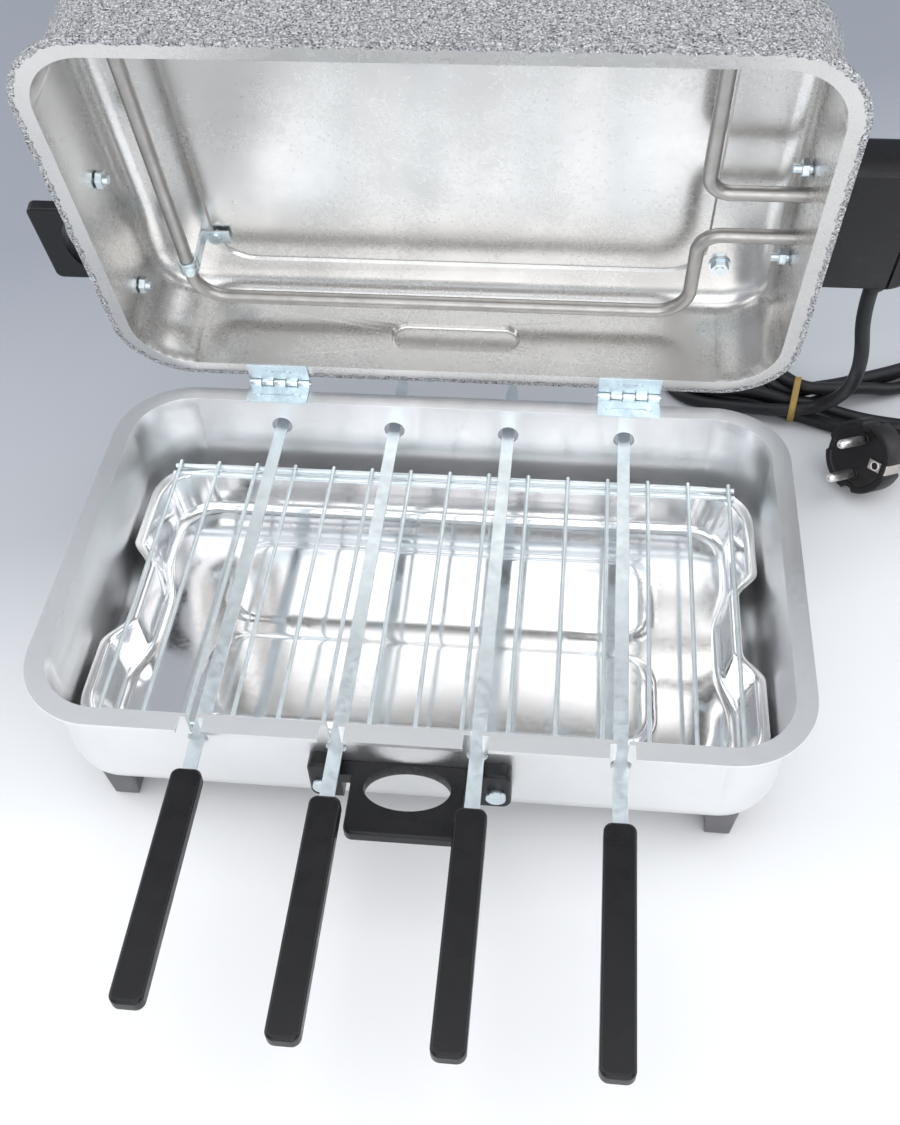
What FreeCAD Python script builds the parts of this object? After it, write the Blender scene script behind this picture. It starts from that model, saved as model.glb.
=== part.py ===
import FreeCAD, Part
import math
import os
import re

import Sketcher
from FreeCAD import Placement, Rotation, Vector

# Electric skewer grill: a pressed-metal pan on four feet, a hinged lid that holds the heating
# element, four hand-turned skewers, a wire rack and a drip tray, and a tied mains lead.
# Units are millimetres. +X is to the user's right, +Y to the rear, +Z up, and the feet stand on
# Z = 0. The lid is modelled closed, about its hinge line, and then turned to its open rest pose.

os.makedirs("parts", exist_ok=True)
doc = FreeCAD.newDocument("skewer_grill")

DIMENSIONS = [
    ("origin_x", -8.55),           # where the middle of the pan lies, seen from the origin
    ("origin_y", 33.6),
    ("rim_width", 320),            # outline of the pan's and the lid's flange
    ("rim_depth", 202),
    ("rim_corner", 35),
    ("flange_width", 8.5),
    ("sheet", 2),                  # sheet thickness of pan and lid
    ("draft", 2.3),                # slope of the walls, degrees
    ("rim_height", 76),            # top of the pan above the table
    ("pan_cavity", 58),
    ("pan_round", 12),             # radius between wall and floor
    ("lid_cavity", 48),
    ("lid_round", 10),
    ("emboss_width", 236),         # shallow raised panel in the lid's floor
    ("emboss_depth", 146),
    ("emboss_corner", 20),
    ("emboss_step", 1.5),
    ("dent_width", 64),            # oblong dent in the lid's rear wall
    ("dent_height", 17),
    ("dent_step", 3),
    ("dent_middle", 20),
    ("pin_behind", 4),             # hinge pin behind the rim edge and above the flange
    ("pin_above", 1.5),
    ("lid_open", 75.3),            # angle between the closed and the rest pose, degrees
    ("hinge_spacing", 171),
    ("hinge_width", 30),
    ("leaf_depth", 11),
    ("leaf_sheet", 1.2),
    ("knuckle_radius", 2.3),
    ("knuckle_gap", 0.3),
    ("hinge_pin_radius", 1),
    ("hinge_bore_radius", 1.04),
    ("rivet_radius", 1.2),
    ("rivet_head_radius", 2),
    ("rivet_head", 0.4),
    ("rivet_spread_base", 19),
    ("rivet_spread_lid", 9),
    ("skewer_pitch", 56.2),
    ("skewer_below_rim", 15),
    ("rear_hole_radius", 5),
    ("front_hole_radius", 4.2),
    ("keyhole_slot", 4.6),
    ("flange_notch", 10),
    ("blade_width", 6),
    ("blade_sheet", 1.5),
    ("blade_tip", 16),
    ("blade_rear", 138),
    ("tang", 60),
    ("grip_start", 119),
    ("grip_length", 95),
    ("grip_width", 12.5),
    ("grip_thick", 7),
    ("grip_corner", 3.5),
    ("push_1", 9),                 # how far each skewer is pushed in past skewer 3
    ("push_2", 1),
    ("push_3", 0),
    ("push_4", -2),
    ("foot_width", 15),
    ("foot_depth", 26),
    ("foot_spread_x", 258),
    ("foot_spread_y", 150),
    ("foot_taper", 12),
    ("foot_top", 22),
    ("foot_screw_radius", 2),
    ("handle_width", 82),
    ("handle_height", 23),
    ("handle_thick", 6.5),
    ("ear_width", 13.5),
    ("handle_x", 1),
    ("handle_below_rim", 19.5),
    ("ledge_width", 46),
    ("ledge_reach", 32.5),
    ("ledge_thick", 6),
    ("ledge_drop", 5.5),
    ("grip_hole_x", 35),
    ("grip_hole_y", 20.5),
    ("handle_screw_spread", 70),
    ("handle_screw_drop", 12.5),
    ("screw_radius", 2),
    ("screw_head_radius", 4),
    ("screw_head", 2.6),
    ("nut_radius", 4.2),
    ("nut_thick", 3),
    ("tray_width", 295),
    ("tray_depth", 168),
    ("tray_corner", 24),
    ("tray_rim", 40),              # height of the tray's rim above the table
    ("tray_floor", 18.3),
    ("tray_sheet", 0.7),
    ("tray_flange", 4.5),
    ("tray_slope", 6),
    ("waist_depth", 9),
    ("waist_flat", 22),
    ("waist_ramp", 17),
    ("rack_wires", 15),
    ("rack_wire_radius", 1),
    ("rack_cross_radius", 1.3),
    ("rack_width", 272),
    ("rack_depth", 162),
    ("rack_cross_gap", 5),
    ("element_radius", 3.25),
    ("element_depth", 31.5),
    ("element_left", -126),
    ("element_right", 110),
    ("element_near", 26.5),
    ("element_far", 189),
    ("element_end_near", 80),
    ("element_end_far", 106),
    ("element_end_x", 164),
    ("element_bend", 14),
    ("earth_x", 124),              # earth stud in the lid's floor
    ("earth_back", 40),
    ("block_width", 24),           # porcelain block the lead is wired to
    ("block_length", 36),
    ("block_thick", 12),
    ("clip_sheet", 1.2),
    ("clip_width", 8),
    ("side_handle_middle", 76),
    ("side_handle_below_rim", 11),
    ("box_near", 58),
    ("box_length", 70),
    ("box_out", 203),
    ("box_top", 20),
    ("box_thick", 22),
    ("box_wall", 2.2),
    ("cover_sheet", 2),
    ("cord_radius", 3.5),
    ("cord_exit_x", 190),
    ("cord_exit_depth", 28),
    ("cord_exit_drop", 3.5),
    ("hank_height", 14),
    ("hank_neck_height", 21),
    ("plug_face_radius", 19.5),
    ("plug_length", 36),
    ("plug_pin_radius", 2.4),
    ("plug_pin_length", 19),
    ("plug_pin_root", 1.9),        # radius of the part moulded into the plug
    ("plug_pin_pitch", 19),
    ("plug_roll", 100),            # turn of the pins about the plug's axis, degrees
]

dims = doc.addObject("Spreadsheet::Sheet", "Dims")
for row, (alias, value) in enumerate(DIMENSIONS, start=1):
    dims.set(f"A{row}", alias)
    dims.set(f"B{row}", str(value))
    dims.setAlias(f"B{row}", alias)
doc.recompute()

ALIASES = {alias for alias, value in DIMENSIONS}
NODES = []          # finished sub-parts, in order


def bound(text):
    """Write an expression with the sheet's name in front of every alias."""
    def prefix(match):
        word = match.group(0)
        return "Dims." + word if word in ALIASES else word
    return re.sub(r"[A-Za-z_][A-Za-z_0-9]*", prefix, str(text))


def number(text):
    """The value of an expression on the sheet, in millimetres or degrees."""
    value = dims.evalExpression(bound(text))
    return float(getattr(value, "Value", value))


def bind(thing, **properties):
    for name, text in properties.items():
        thing.setExpression(name, bound(text))
    return thing


def place(thing, x="0", y="0", z="0", rotation=None):
    """Put a thing at a point given by expressions, turned by a fixed rotation."""
    if rotation is not None:
        thing.Placement = Placement(Vector(), rotation)
    for axis, text in (("x", x), ("y", y), ("z", z)):
        thing.setExpression("Placement.Base." + axis, bound(text))
    return thing


def box(name, length, width, height, x="0", y="0", z="0"):
    """A box whose lowest corner is at x, y, z."""
    thing = bind(doc.addObject("Part::Box", name), Length=length, Width=width, Height=height)
    return place(thing, x, y, z)


ALONG = {
    "x": Rotation(Vector(0, 1, 0), 90),
    "y": Rotation(Vector(1, 0, 0), -90),
    "z": Rotation(),
}


def rod(name, radius, length, x="0", y="0", z="0", along="z"):
    """A cylinder that starts at x, y, z and runs in the positive direction of an axis."""
    thing = bind(doc.addObject("Part::Cylinder", name), Radius=radius, Height=length)
    return place(thing, x, y, z, ALONG[along])


def nut(name, radius, length, x, y, z, along):
    thing = doc.addObject("Part::Prism", name)
    thing.Polygon = 6
    bind(thing, Circumradius=radius, Height=length)
    return place(thing, x, y, z, ALONG[along])


def fuse(name, things):
    if len(things) == 1:
        return things[0]
    thing = doc.addObject("Part::MultiFuse", name)
    thing.Shapes = things
    return thing


def group(name, things):
    """Separate solids that share one node."""
    thing = doc.addObject("Part::Compound", name)
    thing.Links = things
    return thing


def cut(name, base, tools):
    thing = doc.addObject("Part::Cut", name)
    thing.Base = base
    thing.Tool = fuse(name + "_tools", tools)
    return thing


def feature(name, shape):
    thing = doc.addObject("Part::Feature", name)
    thing.Shape = shape
    return thing


def wrapped(name, thing):
    """A one-link compound, so a thing that is placed already can be placed again."""
    return group(name, [thing])


def on_base(label, thing):
    """Finish a sub-part that is modelled with the pan's middle at X = Y = 0."""
    place(thing, "origin_x", "origin_y", "0")
    thing.Label = label
    NODES.append(thing)
    return thing


def on_lid(label, thing):
    """Finish a lid sub-part, modelled closed with its origin on the hinge pin's axis."""
    thing.Placement = Placement(Vector(), Rotation(Vector(-1, 0, 0), number("lid_open")))
    place(thing, "origin_x", "origin_y + rim_depth / 2 + pin_behind", "rim_height + pin_above")
    thing.setExpression("Placement.Rotation.Angle", bound("lid_open"))
    thing.Label = label
    NODES.append(thing)
    return thing


# ---------------------------------------------------------------- sketches and tapered bodies

ORIGIN_POINT = (-1, 1)


def plane(body, role):
    return [item for item in body.Origin.OriginFeatures if item.Role == role][0]


def sketch_on(body, name, role="XY_Plane", height="0"):
    sketch = body.newObject("Sketcher::SketchObject", name)
    sketch.AttachmentSupport = (plane(body, role), "")
    sketch.MapMode = "FlatFace"
    sketch.setExpression("AttachmentOffset.Base.z", bound(height))
    return sketch


def rounded_rectangle(sketch, width, depth, radius, tag=""):
    """A centred rectangle with four equal tangent corner arcs, driven by three sizes."""
    x, y, r = number(width) / 2, number(depth) / 2, number(radius)
    up = Vector(0, 0, 1)
    top, right, bottom, left = sketch.addGeometry([
        Part.LineSegment(Vector(r - x, y, 0), Vector(x - r, y, 0)),
        Part.LineSegment(Vector(x, y - r, 0), Vector(x, r - y, 0)),
        Part.LineSegment(Vector(x - r, -y, 0), Vector(r - x, -y, 0)),
        Part.LineSegment(Vector(-x, r - y, 0), Vector(-x, y - r, 0)),
    ], False)
    arcs = []
    for quarter, (side_x, side_y) in enumerate(((1, 1), (-1, 1), (-1, -1), (1, -1))):
        middle = Vector(side_x * (x - r), side_y * (y - r), 0)
        start = quarter * math.pi / 2
        arc = Part.ArcOfCircle(Part.Circle(middle, up, r), start, start + math.pi / 2)
        arcs.append(sketch.addGeometry(arc, False))
    north_east, north_west, south_west, south_east = arcs
    joins = [
        (top, 2, north_east, 2), (north_east, 1, right, 1), (right, 2, south_east, 2),
        (south_east, 1, bottom, 1), (bottom, 2, south_west, 2), (south_west, 1, left, 1),
        (left, 2, north_west, 2), (north_west, 1, top, 1),
    ]
    for join in joins:
        sketch.addConstraint(Sketcher.Constraint("Tangent", *join))
    for kind, line in (("Horizontal", top), ("Horizontal", bottom), ("Vertical", left),
                       ("Vertical", right)):
        sketch.addConstraint(Sketcher.Constraint(kind, line))
    for first, second in zip(arcs, arcs[1:]):
        sketch.addConstraint(Sketcher.Constraint("Equal", first, second))
    sketch.addConstraint(
        Sketcher.Constraint("Symmetric", north_east, 3, south_west, 3, *ORIGIN_POINT))
    sized = [
        ("width", Sketcher.Constraint("DistanceX", left, 1, right, 1, 2 * x), width),
        ("depth", Sketcher.Constraint("DistanceY", bottom, 1, top, 1, 2 * y), depth),
        ("radius", Sketcher.Constraint("Radius", north_east, r), radius),
    ]
    for name, constraint, text in sized:
        index = sketch.addConstraint(constraint)
        sketch.renameConstraint(index, name + tag)
        sketch.setExpression("Constraints." + name + tag, bound(text))


def edges_at(shape, height):
    """Names of the edges that lie wholly at a height."""
    found = []
    for index, edge in enumerate(shape.Edges, start=1):
        bounds = edge.BoundBox
        if abs(bounds.ZMin - height) < 0.01 and abs(bounds.ZMax - height) < 0.01:
            found.append(f"Edge{index}")
    return found


def rounded_block(name, width, depth, corner, height, taper="0", top_round=None,
                  bottom_round=None):
    """A centred block that stands on Z = 0, narrows upwards and may have rounded rims."""
    body = doc.addObject("PartDesign::Body", name)
    sketch = sketch_on(body, name + "_outline")
    rounded_rectangle(sketch, width, depth, corner)
    pad = body.newObject("PartDesign::Pad", name + "_pad")
    pad.Profile = sketch
    bind(pad, Length=height, TaperAngle="-(" + taper + ")")
    doc.recompute()
    for where, radius in ((number(height), top_round), (0.0, bottom_round)):
        if radius is None:
            continue
        base = body.Tip
        rim = body.newObject("PartDesign::Fillet", f"{name}_round_{int(where)}")
        rim.Base = (base, edges_at(base.Shape, where))
        bind(rim, Radius=radius)
        doc.recompute()
    return body


def tub(name, cavity, edge_round):
    """A drafted pressed shell with its flange at Z = 0 and its floor up at Z = cavity."""
    mouth_x = "(rim_width - 2 * flange_width)"
    mouth_y = "(rim_depth - 2 * flange_width)"
    corner = "(rim_corner - flange_width)"
    outer = rounded_block(
        name + "_outer", mouth_x + " + 2 * sheet", mouth_y + " + 2 * sheet",
        corner + " + sheet", cavity + " + sheet", "draft", edge_round + " + sheet")
    inner = rounded_block(
        name + "_inner", mouth_x, mouth_y, corner, cavity, "draft", edge_round)
    flange = rounded_block(name + "_flange", "rim_width", "rim_depth", "rim_corner", "sheet")
    return fuse(name + "_solid", [outer, flange]), inner


# ---------------------------------------------------------------- base pan

MOUTH_Y = "(rim_depth / 2 - flange_width)"
SKEWER_Z = "rim_height - skewer_below_rim"
SKEWER_X = [f"({step} * skewer_pitch)" for step in (-1.5, -0.5, 0.5, 1.5)]
HANDLE_SCREWS = ["(-handle_screw_spread / 2)", "(handle_screw_spread / 2)"]
HINGES = {"left": "(-hinge_spacing / 2)", "right": "(hinge_spacing / 2)"}
FEET = {
    "front_left": (-1, -1), "front_right": (1, -1), "rear_left": (-1, 1), "rear_right": (1, 1),
}


def upside_down(name, thing):
    return place(wrapped(name, thing), z="rim_height", rotation=Rotation(Vector(1, 0, 0), 180))


pan_solid, pan_hollow = tub("pan", "pan_cavity", "pan_round")
pan_solid = upside_down("pan_solid_placed", pan_solid)
pan_hollow = upside_down("pan_hollow_placed", pan_hollow)


def keyhole(index, x):
    """Tools for one skewer: rear hole, front hole, its slot and the notch in the flange."""
    return [
        rod(f"rear_hole_{index}", "rear_hole_radius", "20", x, MOUTH_Y + " - 10", SKEWER_Z,
            "y"),
        rod(f"front_hole_{index}", "front_hole_radius", "20", x, f"-{MOUTH_Y} - 12", SKEWER_Z,
            "y"),
        box(f"slot_{index}", "keyhole_slot", "20", "skewer_below_rim + 1",
            f"{x} - keyhole_slot / 2", f"-{MOUTH_Y} - 12", SKEWER_Z),
        box(f"notch_{index}", "flange_notch", "flange_width", "sheet + 2",
            f"{x} - flange_notch / 2", f"-{MOUTH_Y} - sheet - flange_width",
            "rim_height - sheet - 1"),
    ]


def foot_place(side_x, side_y):
    return f"({side_x} * foot_spread_x / 2)", f"({side_y} * foot_spread_y / 2)"


def rivet_places(hinge_x, spread):
    return [f"({hinge_x} + {side} * {spread} / 2)" for side in (-1, 1)]


RIVET_Y = "(rim_depth / 2 - flange_width / 2 + 0.5)"


def make_pan():
    tools = []
    for index, x in enumerate(SKEWER_X, start=1):
        tools += keyhole(index, x)
    for index, x in enumerate(HANDLE_SCREWS):
        tools.append(rod(f"pan_handle_hole_{index}", "screw_radius", "20", f"{x} + handle_x",
                         f"-{MOUTH_Y} - 12", "rim_height - handle_below_rim - handle_screw_drop",
                         "y"))
    for name, sides in FEET.items():
        x, y = foot_place(*sides)
        tools.append(rod("pan_hole_" + name, "foot_screw_radius", "12", x, y,
                         "rim_height - pan_cavity - 8"))
    for name, hinge_x in HINGES.items():
        for index, x in enumerate(rivet_places(hinge_x, "rivet_spread_base")):
            tools.append(rod(f"pan_rivet_hole_{name}_{index}", "rivet_radius", "10", x,
                             RIVET_Y, "rim_height - 5"))
    on_base("base_pan", cut("base_pan", pan_solid, [pan_hollow] + tools))


make_pan()


# ---------------------------------------------------------------- feet

FOOT_BOTTOM = "(rim_height - pan_cavity - sheet)"


def make_foot(name, side_x, side_y):
    """A tapered plastic foot, wide end up, hollowed to fit the pan's rounded floor edge."""
    x, y = foot_place(side_x, side_y)
    body = rounded_block("foot_block_" + name, "foot_width", "foot_depth", "2.5", "foot_top",
                         "foot_taper / 2", top_round="1.5")
    placed = place(wrapped("foot_placed_" + name, body), x, y, "foot_top",
                   Rotation(Vector(1, 0, 0), 180))
    seat = box("foot_seat_" + name, "60", "60", "20", x + " - 30", y + " - 30", FOOT_BOTTOM)
    slab = cut("foot_slab_" + name, placed, [pan_solid])
    edge = box("foot_edge_" + name, "60", "60", "40", x + " - 30",
               f"{y} + ({side_y}) * 30 - 30 + ({side_y}) * 0.01", FOOT_BOTTOM)
    bore = rod("foot_bore_" + name, "foot_screw_radius", "40", x, y, "4")
    above_seat = cut("foot_above_seat_" + name, seat, [edge])
    bored = cut("foot_bored_" + name, slab, [bore])
    on_base("foot_" + name, cut("foot_" + name, bored, [above_seat]))


for foot_name, foot_sides in FEET.items():
    make_foot(foot_name, *foot_sides)

foot_screws = []
for foot_name, foot_sides in FEET.items():
    foot_x, foot_y = foot_place(*foot_sides)
    foot_screws.append(fuse("foot_screw_" + foot_name, [
        rod("foot_shank_" + foot_name, "foot_screw_radius", "rim_height - pan_cavity - 4",
            foot_x, foot_y, "4"),
        rod("foot_head_" + foot_name, "screw_head_radius", "0.25", foot_x, foot_y,
            "rim_height - pan_cavity"),
    ]))
on_base("foot_screws", group("foot_screws", foot_screws))


# ---------------------------------------------------------------- moulded handle

def handle_solid(name):
    """The moulded handle: two screw ears on a bar and a ledge with an oval finger hole.

    Its back lies in the plane Y = 0, it reaches out along +Y, and its ears' top is at Z = 0.
    """
    bar = rounded_block(name + "_bar", "handle_width", "handle_height", "4", "handle_thick",
                        top_round="1.5")
    bar = place(wrapped(name + "_bar_placed", bar), "0", "0", "-handle_height / 2",
                Rotation(Vector(1, 0, 0), -90))
    reliefs = [
        box(name + "_relief_" + part, "handle_width - 2 * ear_width", "20", "handle_height",
            "-handle_width / 2 + ear_width", "-5", low)
        for part, low in (("low", "-handle_height - ledge_drop - ledge_thick"),
                          ("high", "-ledge_drop"))
    ]
    bar = cut(name + "_ears", bar, reliefs)
    ledge = rounded_block(name + "_ledge", "ledge_width", "ledge_reach", "3.5", "ledge_thick",
                          top_round="1.2", bottom_round="1.2")
    ledge = place(wrapped(name + "_ledge_placed", ledge), "0", "ledge_reach / 2",
                  "-ledge_drop - ledge_thick")
    ledge_root = box(name + "_root", "ledge_width", "10", "ledge_thick", "-ledge_width / 2",
                     "0", "-ledge_drop - ledge_thick")
    oval = Part.Ellipse(Vector(), number("grip_hole_x / 2"), number("grip_hole_y / 2"))
    oval_face = Part.Face(Part.Wire([oval.toShape()]))
    hole = feature(name + "_oval", oval_face.extrude(Vector(0, 0, 60)))
    place(hole, "0", "grip_hole_y / 2 + 0.8", "-40")
    screws = [rod(f"{name}_bore_{index}", "screw_radius", "30", x, "-5",
                  "-handle_screw_drop", "y") for index, x in enumerate(HANDLE_SCREWS)]
    return cut(name + "_solid", fuse(name + "_fused", [bar, ledge, ledge_root]),
               [hole] + screws)


def wall_offset(depth):
    """How far a wall's outer face lies outside the mouth, at a depth below the flange."""
    return f"(sheet + 0.05 - ({depth}) * tan(draft * 1deg))"


def handle_fixings(name, wall, turn, x, y, z, finish, group_name):
    """Screws with their heads outside and their nuts inside the wall."""
    screws, nuts = [], []
    for index, at in enumerate(HANDLE_SCREWS):
        screws.append(fuse(f"{name}_screw_{index}", [
            rod(f"{name}_shank_{index}", "screw_radius", "handle_thick + 8", at, "-8",
                "-handle_screw_drop", "y"),
            rod(f"{name}_head_{index}", "screw_head_radius", "screw_head", at, "handle_thick",
                "-handle_screw_drop", "y"),
        ]))
        hexagon = nut(f"{name}_hexagon_{index}", "nut_radius", "nut_thick", at,
                      f"-{wall} - nut_thick", "-handle_screw_drop", "y")
        hollow = rod(f"{name}_thread_{index}", "screw_radius", "20", at, "-12",
                     "-handle_screw_drop", "y")
        nuts.append(cut(f"{name}_nut_{index}", hexagon, [hollow]))
    for kind, things in (("screws", screws), ("nuts", nuts)):
        placed = place(group(f"{name}_{kind}_set", things), x, y, z, turn)
        finish(f"{group_name}_{kind}", wrapped(f"{name}_{kind}_node", placed))


FRONT_TURN = Rotation(Vector(0, 0, 1), 180)
FRONT_WALL = f"-{MOUTH_Y} - {wall_offset('handle_below_rim')}"
FRONT_TOP = "rim_height - handle_below_rim"
front_handle = place(handle_solid("front"), "handle_x", FRONT_WALL, FRONT_TOP, FRONT_TURN)
on_base("front_handle", wrapped("front_handle", front_handle))
handle_fixings("front", "(sheet + 1)", FRONT_TURN, "handle_x", FRONT_WALL, FRONT_TOP, on_base,
               "front_handle")


# ---------------------------------------------------------------- lid shell

LID_MIDDLE = "-(pin_behind + rim_depth / 2)"
MOUTH_X = "(rim_width / 2 - flange_width)"
LID_SCREWS = ["(-side_handle_middle - handle_screw_spread / 2)",
              "(-side_handle_middle + handle_screw_spread / 2)"]
SIDE_SCREW_Z = "pin_above + side_handle_below_rim + handle_screw_drop"
BOX_SCREWS = ["(-box_near - 8)", "(-box_near - box_length + 8)"]
BOX_SCREW_Z = "pin_above + box_top + box_thick / 2"
ELEMENT_ENDS = ["(-element_end_near)", "(-element_end_far)"]
CLIPS = [("left_leg", "element_left", "-49", "y"), ("far_left", "-70", "-element_far", "x"),
         ("far_right", "60", "-element_far", "x")]
FLOOR_Z = "(pin_above + lid_cavity)"
LID_RIVET_Y = "(-pin_behind - flange_width / 2 + 0.5)"


def make_lid():
    solid, hollow = tub("lid", "lid_cavity", "lid_round")
    panel_out = place(rounded_block("panel_out", "emboss_width + 2 * sheet",
                                    "emboss_depth + 2 * sheet", "emboss_corner",
                                    "emboss_step + sheet", "30"),
                      z="lid_cavity")
    panel_in = place(rounded_block("panel_in", "emboss_width", "emboss_depth",
                                   "emboss_corner", "emboss_step + 1", "30"),
                     z="lid_cavity - 1")
    dent_out = place(rounded_block("dent_out", "dent_width + 2 * sheet",
                                   "dent_height + 2 * sheet", "dent_height / 2 + 1",
                                   "dent_step + sheet + 0.5", "18", top_round="1.5"),
                     "0", MOUTH_Y + " - 1", "dent_middle", Rotation(Vector(1, 0, 0), -90))
    dent_in = place(rounded_block("dent_in", "dent_width", "dent_height",
                                  "dent_height / 2 - 0.5", "dent_step + 1", "18",
                                  top_round="1.2"),
                    "0", MOUTH_Y + " - 1.8", "dent_middle", Rotation(Vector(1, 0, 0), -90))
    shell = cut("lid_pressing", fuse("lid_full", [solid, panel_out, dent_out]),
                [hollow, panel_in, dent_in])
    shell = place(wrapped("lid_pressing_placed", shell), "0", LID_MIDDLE, "pin_above")
    tools = []
    for index, y in enumerate(LID_SCREWS):
        tools.append(rod(f"lid_handle_hole_{index}", "screw_radius", "20",
                         f"-{MOUTH_X} - 10", y, SIDE_SCREW_Z, "x"))
    for index, y in enumerate(BOX_SCREWS):
        tools.append(rod(f"lid_box_hole_{index}", "screw_radius", "20",
                         MOUTH_X + " - 10", y, BOX_SCREW_Z, "x"))
    for index, y in enumerate(ELEMENT_ENDS):
        tools.append(rod(f"lid_element_hole_{index}", "element_radius + 0.05", "20",
                         MOUTH_X + " - 10", y, "element_depth", "x"))
    for name, x, y, along in CLIPS:
        tools.append(rod("lid_clip_hole_" + name, "1.5", "20", *clip_screw_place(x, y, along),
                         FLOOR_Z + " - 8"))
    tools.append(rod("lid_earth_hole", "screw_radius", "20", "earth_x", "-earth_back", FLOOR_Z + " - 8"))
    for name, hinge_x in HINGES.items():
        for index, x in enumerate(rivet_places(hinge_x, "rivet_spread_lid")):
            tools.append(rod(f"lid_rivet_hole_{name}_{index}", "rivet_radius", "10", x,
                             LID_RIVET_Y, "pin_above - 2"))
    on_lid("lid_shell", cut("lid_shell", shell, tools))


def clip_screw_place(x, y, along):
    """The clip's tab lies beside the tube, on the side of the lid's middle."""
    if along == "y":
        return f"({x} + 10)", y
    return x, f"({y} + 10)"


make_lid()


# ---------------------------------------------------------------- hinges

KNUCKLES = 5


def knuckle(name, hinge_x, index, bore):
    """One knuckle with its start, its length and the bore for the pin."""
    pitch = f"(hinge_width / {KNUCKLES})"
    start = f"({hinge_x} - hinge_width / 2 + {index} * {pitch} + knuckle_gap / 2)"
    length = f"({pitch} - knuckle_gap)"
    barrel = rod(name + "_barrel", "knuckle_radius", length, start, "0", "0", "x")
    hole = rod(name + "_hole", bore, "hinge_width * 2", f"{hinge_x} - hinge_width", "0", "0",
               "x")
    return barrel, start, length, hole


def make_hinge(name, hinge_x):
    """Both leaves about the pin's axis; the base leaf lies low and the lid leaf high."""
    leaves = {
        "base": ("-pin_above", (0, 2, 4), "hinge_pin_radius", "rivet_spread_base"),
        "lid": ("pin_above - leaf_sheet", (1, 3), "hinge_bore_radius", "rivet_spread_lid"),
    }
    leaf_start = "-(knuckle_radius + 0.4 + leaf_depth)"
    for kind, (low, places, bore, spread) in leaves.items():
        tag = f"{kind}_{name}"
        things = [box("plate_" + tag, "hinge_width", "leaf_depth", "leaf_sheet",
                      f"{hinge_x} - hinge_width / 2", leaf_start, low)]
        for index in places:
            barrel, start, length, hole = knuckle(f"knuckle_{tag}_{index}", hinge_x, index,
                                                  bore)
            bridge = box(f"bridge_{tag}_{index}", length, "knuckle_radius + 0.4",
                         "leaf_sheet", start, "-(knuckle_radius + 0.4)", low)
            things += [barrel, bridge]
        holes = [rod(f"leaf_hole_{tag}_{index}", "rivet_radius", "12", x, LID_RIVET_Y, "-6")
                 for index, x in enumerate(rivet_places(hinge_x, spread))]
        leaf = cut("leaf_" + tag, fuse("leaf_full_" + tag, things), [hole] + holes)
        if kind == "lid":
            on_lid(f"hinge_lid_leaf_{name}", leaf)
        else:
            placed = place(leaf, "0", "rim_depth / 2 + pin_behind", "rim_height + pin_above")
            on_base(f"hinge_base_leaf_{name}", wrapped("leaf_node_" + tag, placed))
    pin = rod("pin_rod_" + name, "hinge_pin_radius", "hinge_width + 1",
              f"{hinge_x} - hinge_width / 2 - 0.5", "rim_depth / 2 + pin_behind",
              "rim_height + pin_above", "x")
    on_base("hinge_pin_" + name, wrapped("hinge_pin_node_" + name, pin))


for hinge_name, hinge_place in HINGES.items():
    make_hinge(hinge_name, hinge_place)


def rivet(name, x, y, face, back, side):
    """A rivet from its head on a leaf's face through to its tail behind the flange."""
    length = f"({back} - ({face})) * ({side})"
    low = face if side > 0 else back
    head_low = f"{face} - rivet_head" if side > 0 else face
    tail_low = back if side > 0 else f"{back} - 0.8"
    return fuse(name, [
        rod(name + "_shank", "rivet_radius", length, x, y, low),
        rod(name + "_head", "rivet_head_radius", "rivet_head", x, y, head_low),
        rod(name + "_tail", "rivet_head_radius", "0.8", x, y, tail_low),
    ])


base_rivets, lid_rivets = [], []
for hinge_name, hinge_place in HINGES.items():
    for rivet_index, rivet_x in enumerate(rivet_places(hinge_place, "rivet_spread_base")):
        base_rivets.append(rivet(f"base_rivet_{hinge_name}_{rivet_index}", rivet_x, RIVET_Y,
                                 "rim_height + leaf_sheet", "rim_height - sheet", -1))
    for rivet_index, rivet_x in enumerate(rivet_places(hinge_place, "rivet_spread_lid")):
        lid_rivets.append(rivet(f"lid_rivet_{hinge_name}_{rivet_index}", rivet_x, LID_RIVET_Y,
                                "pin_above - leaf_sheet", "pin_above + sheet", 1))
on_base("hinge_base_rivets", group("hinge_base_rivets", base_rivets))
on_lid("hinge_lid_rivets", group("hinge_lid_rivets", lid_rivets))


# ---------------------------------------------------------------- skewers

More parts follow.
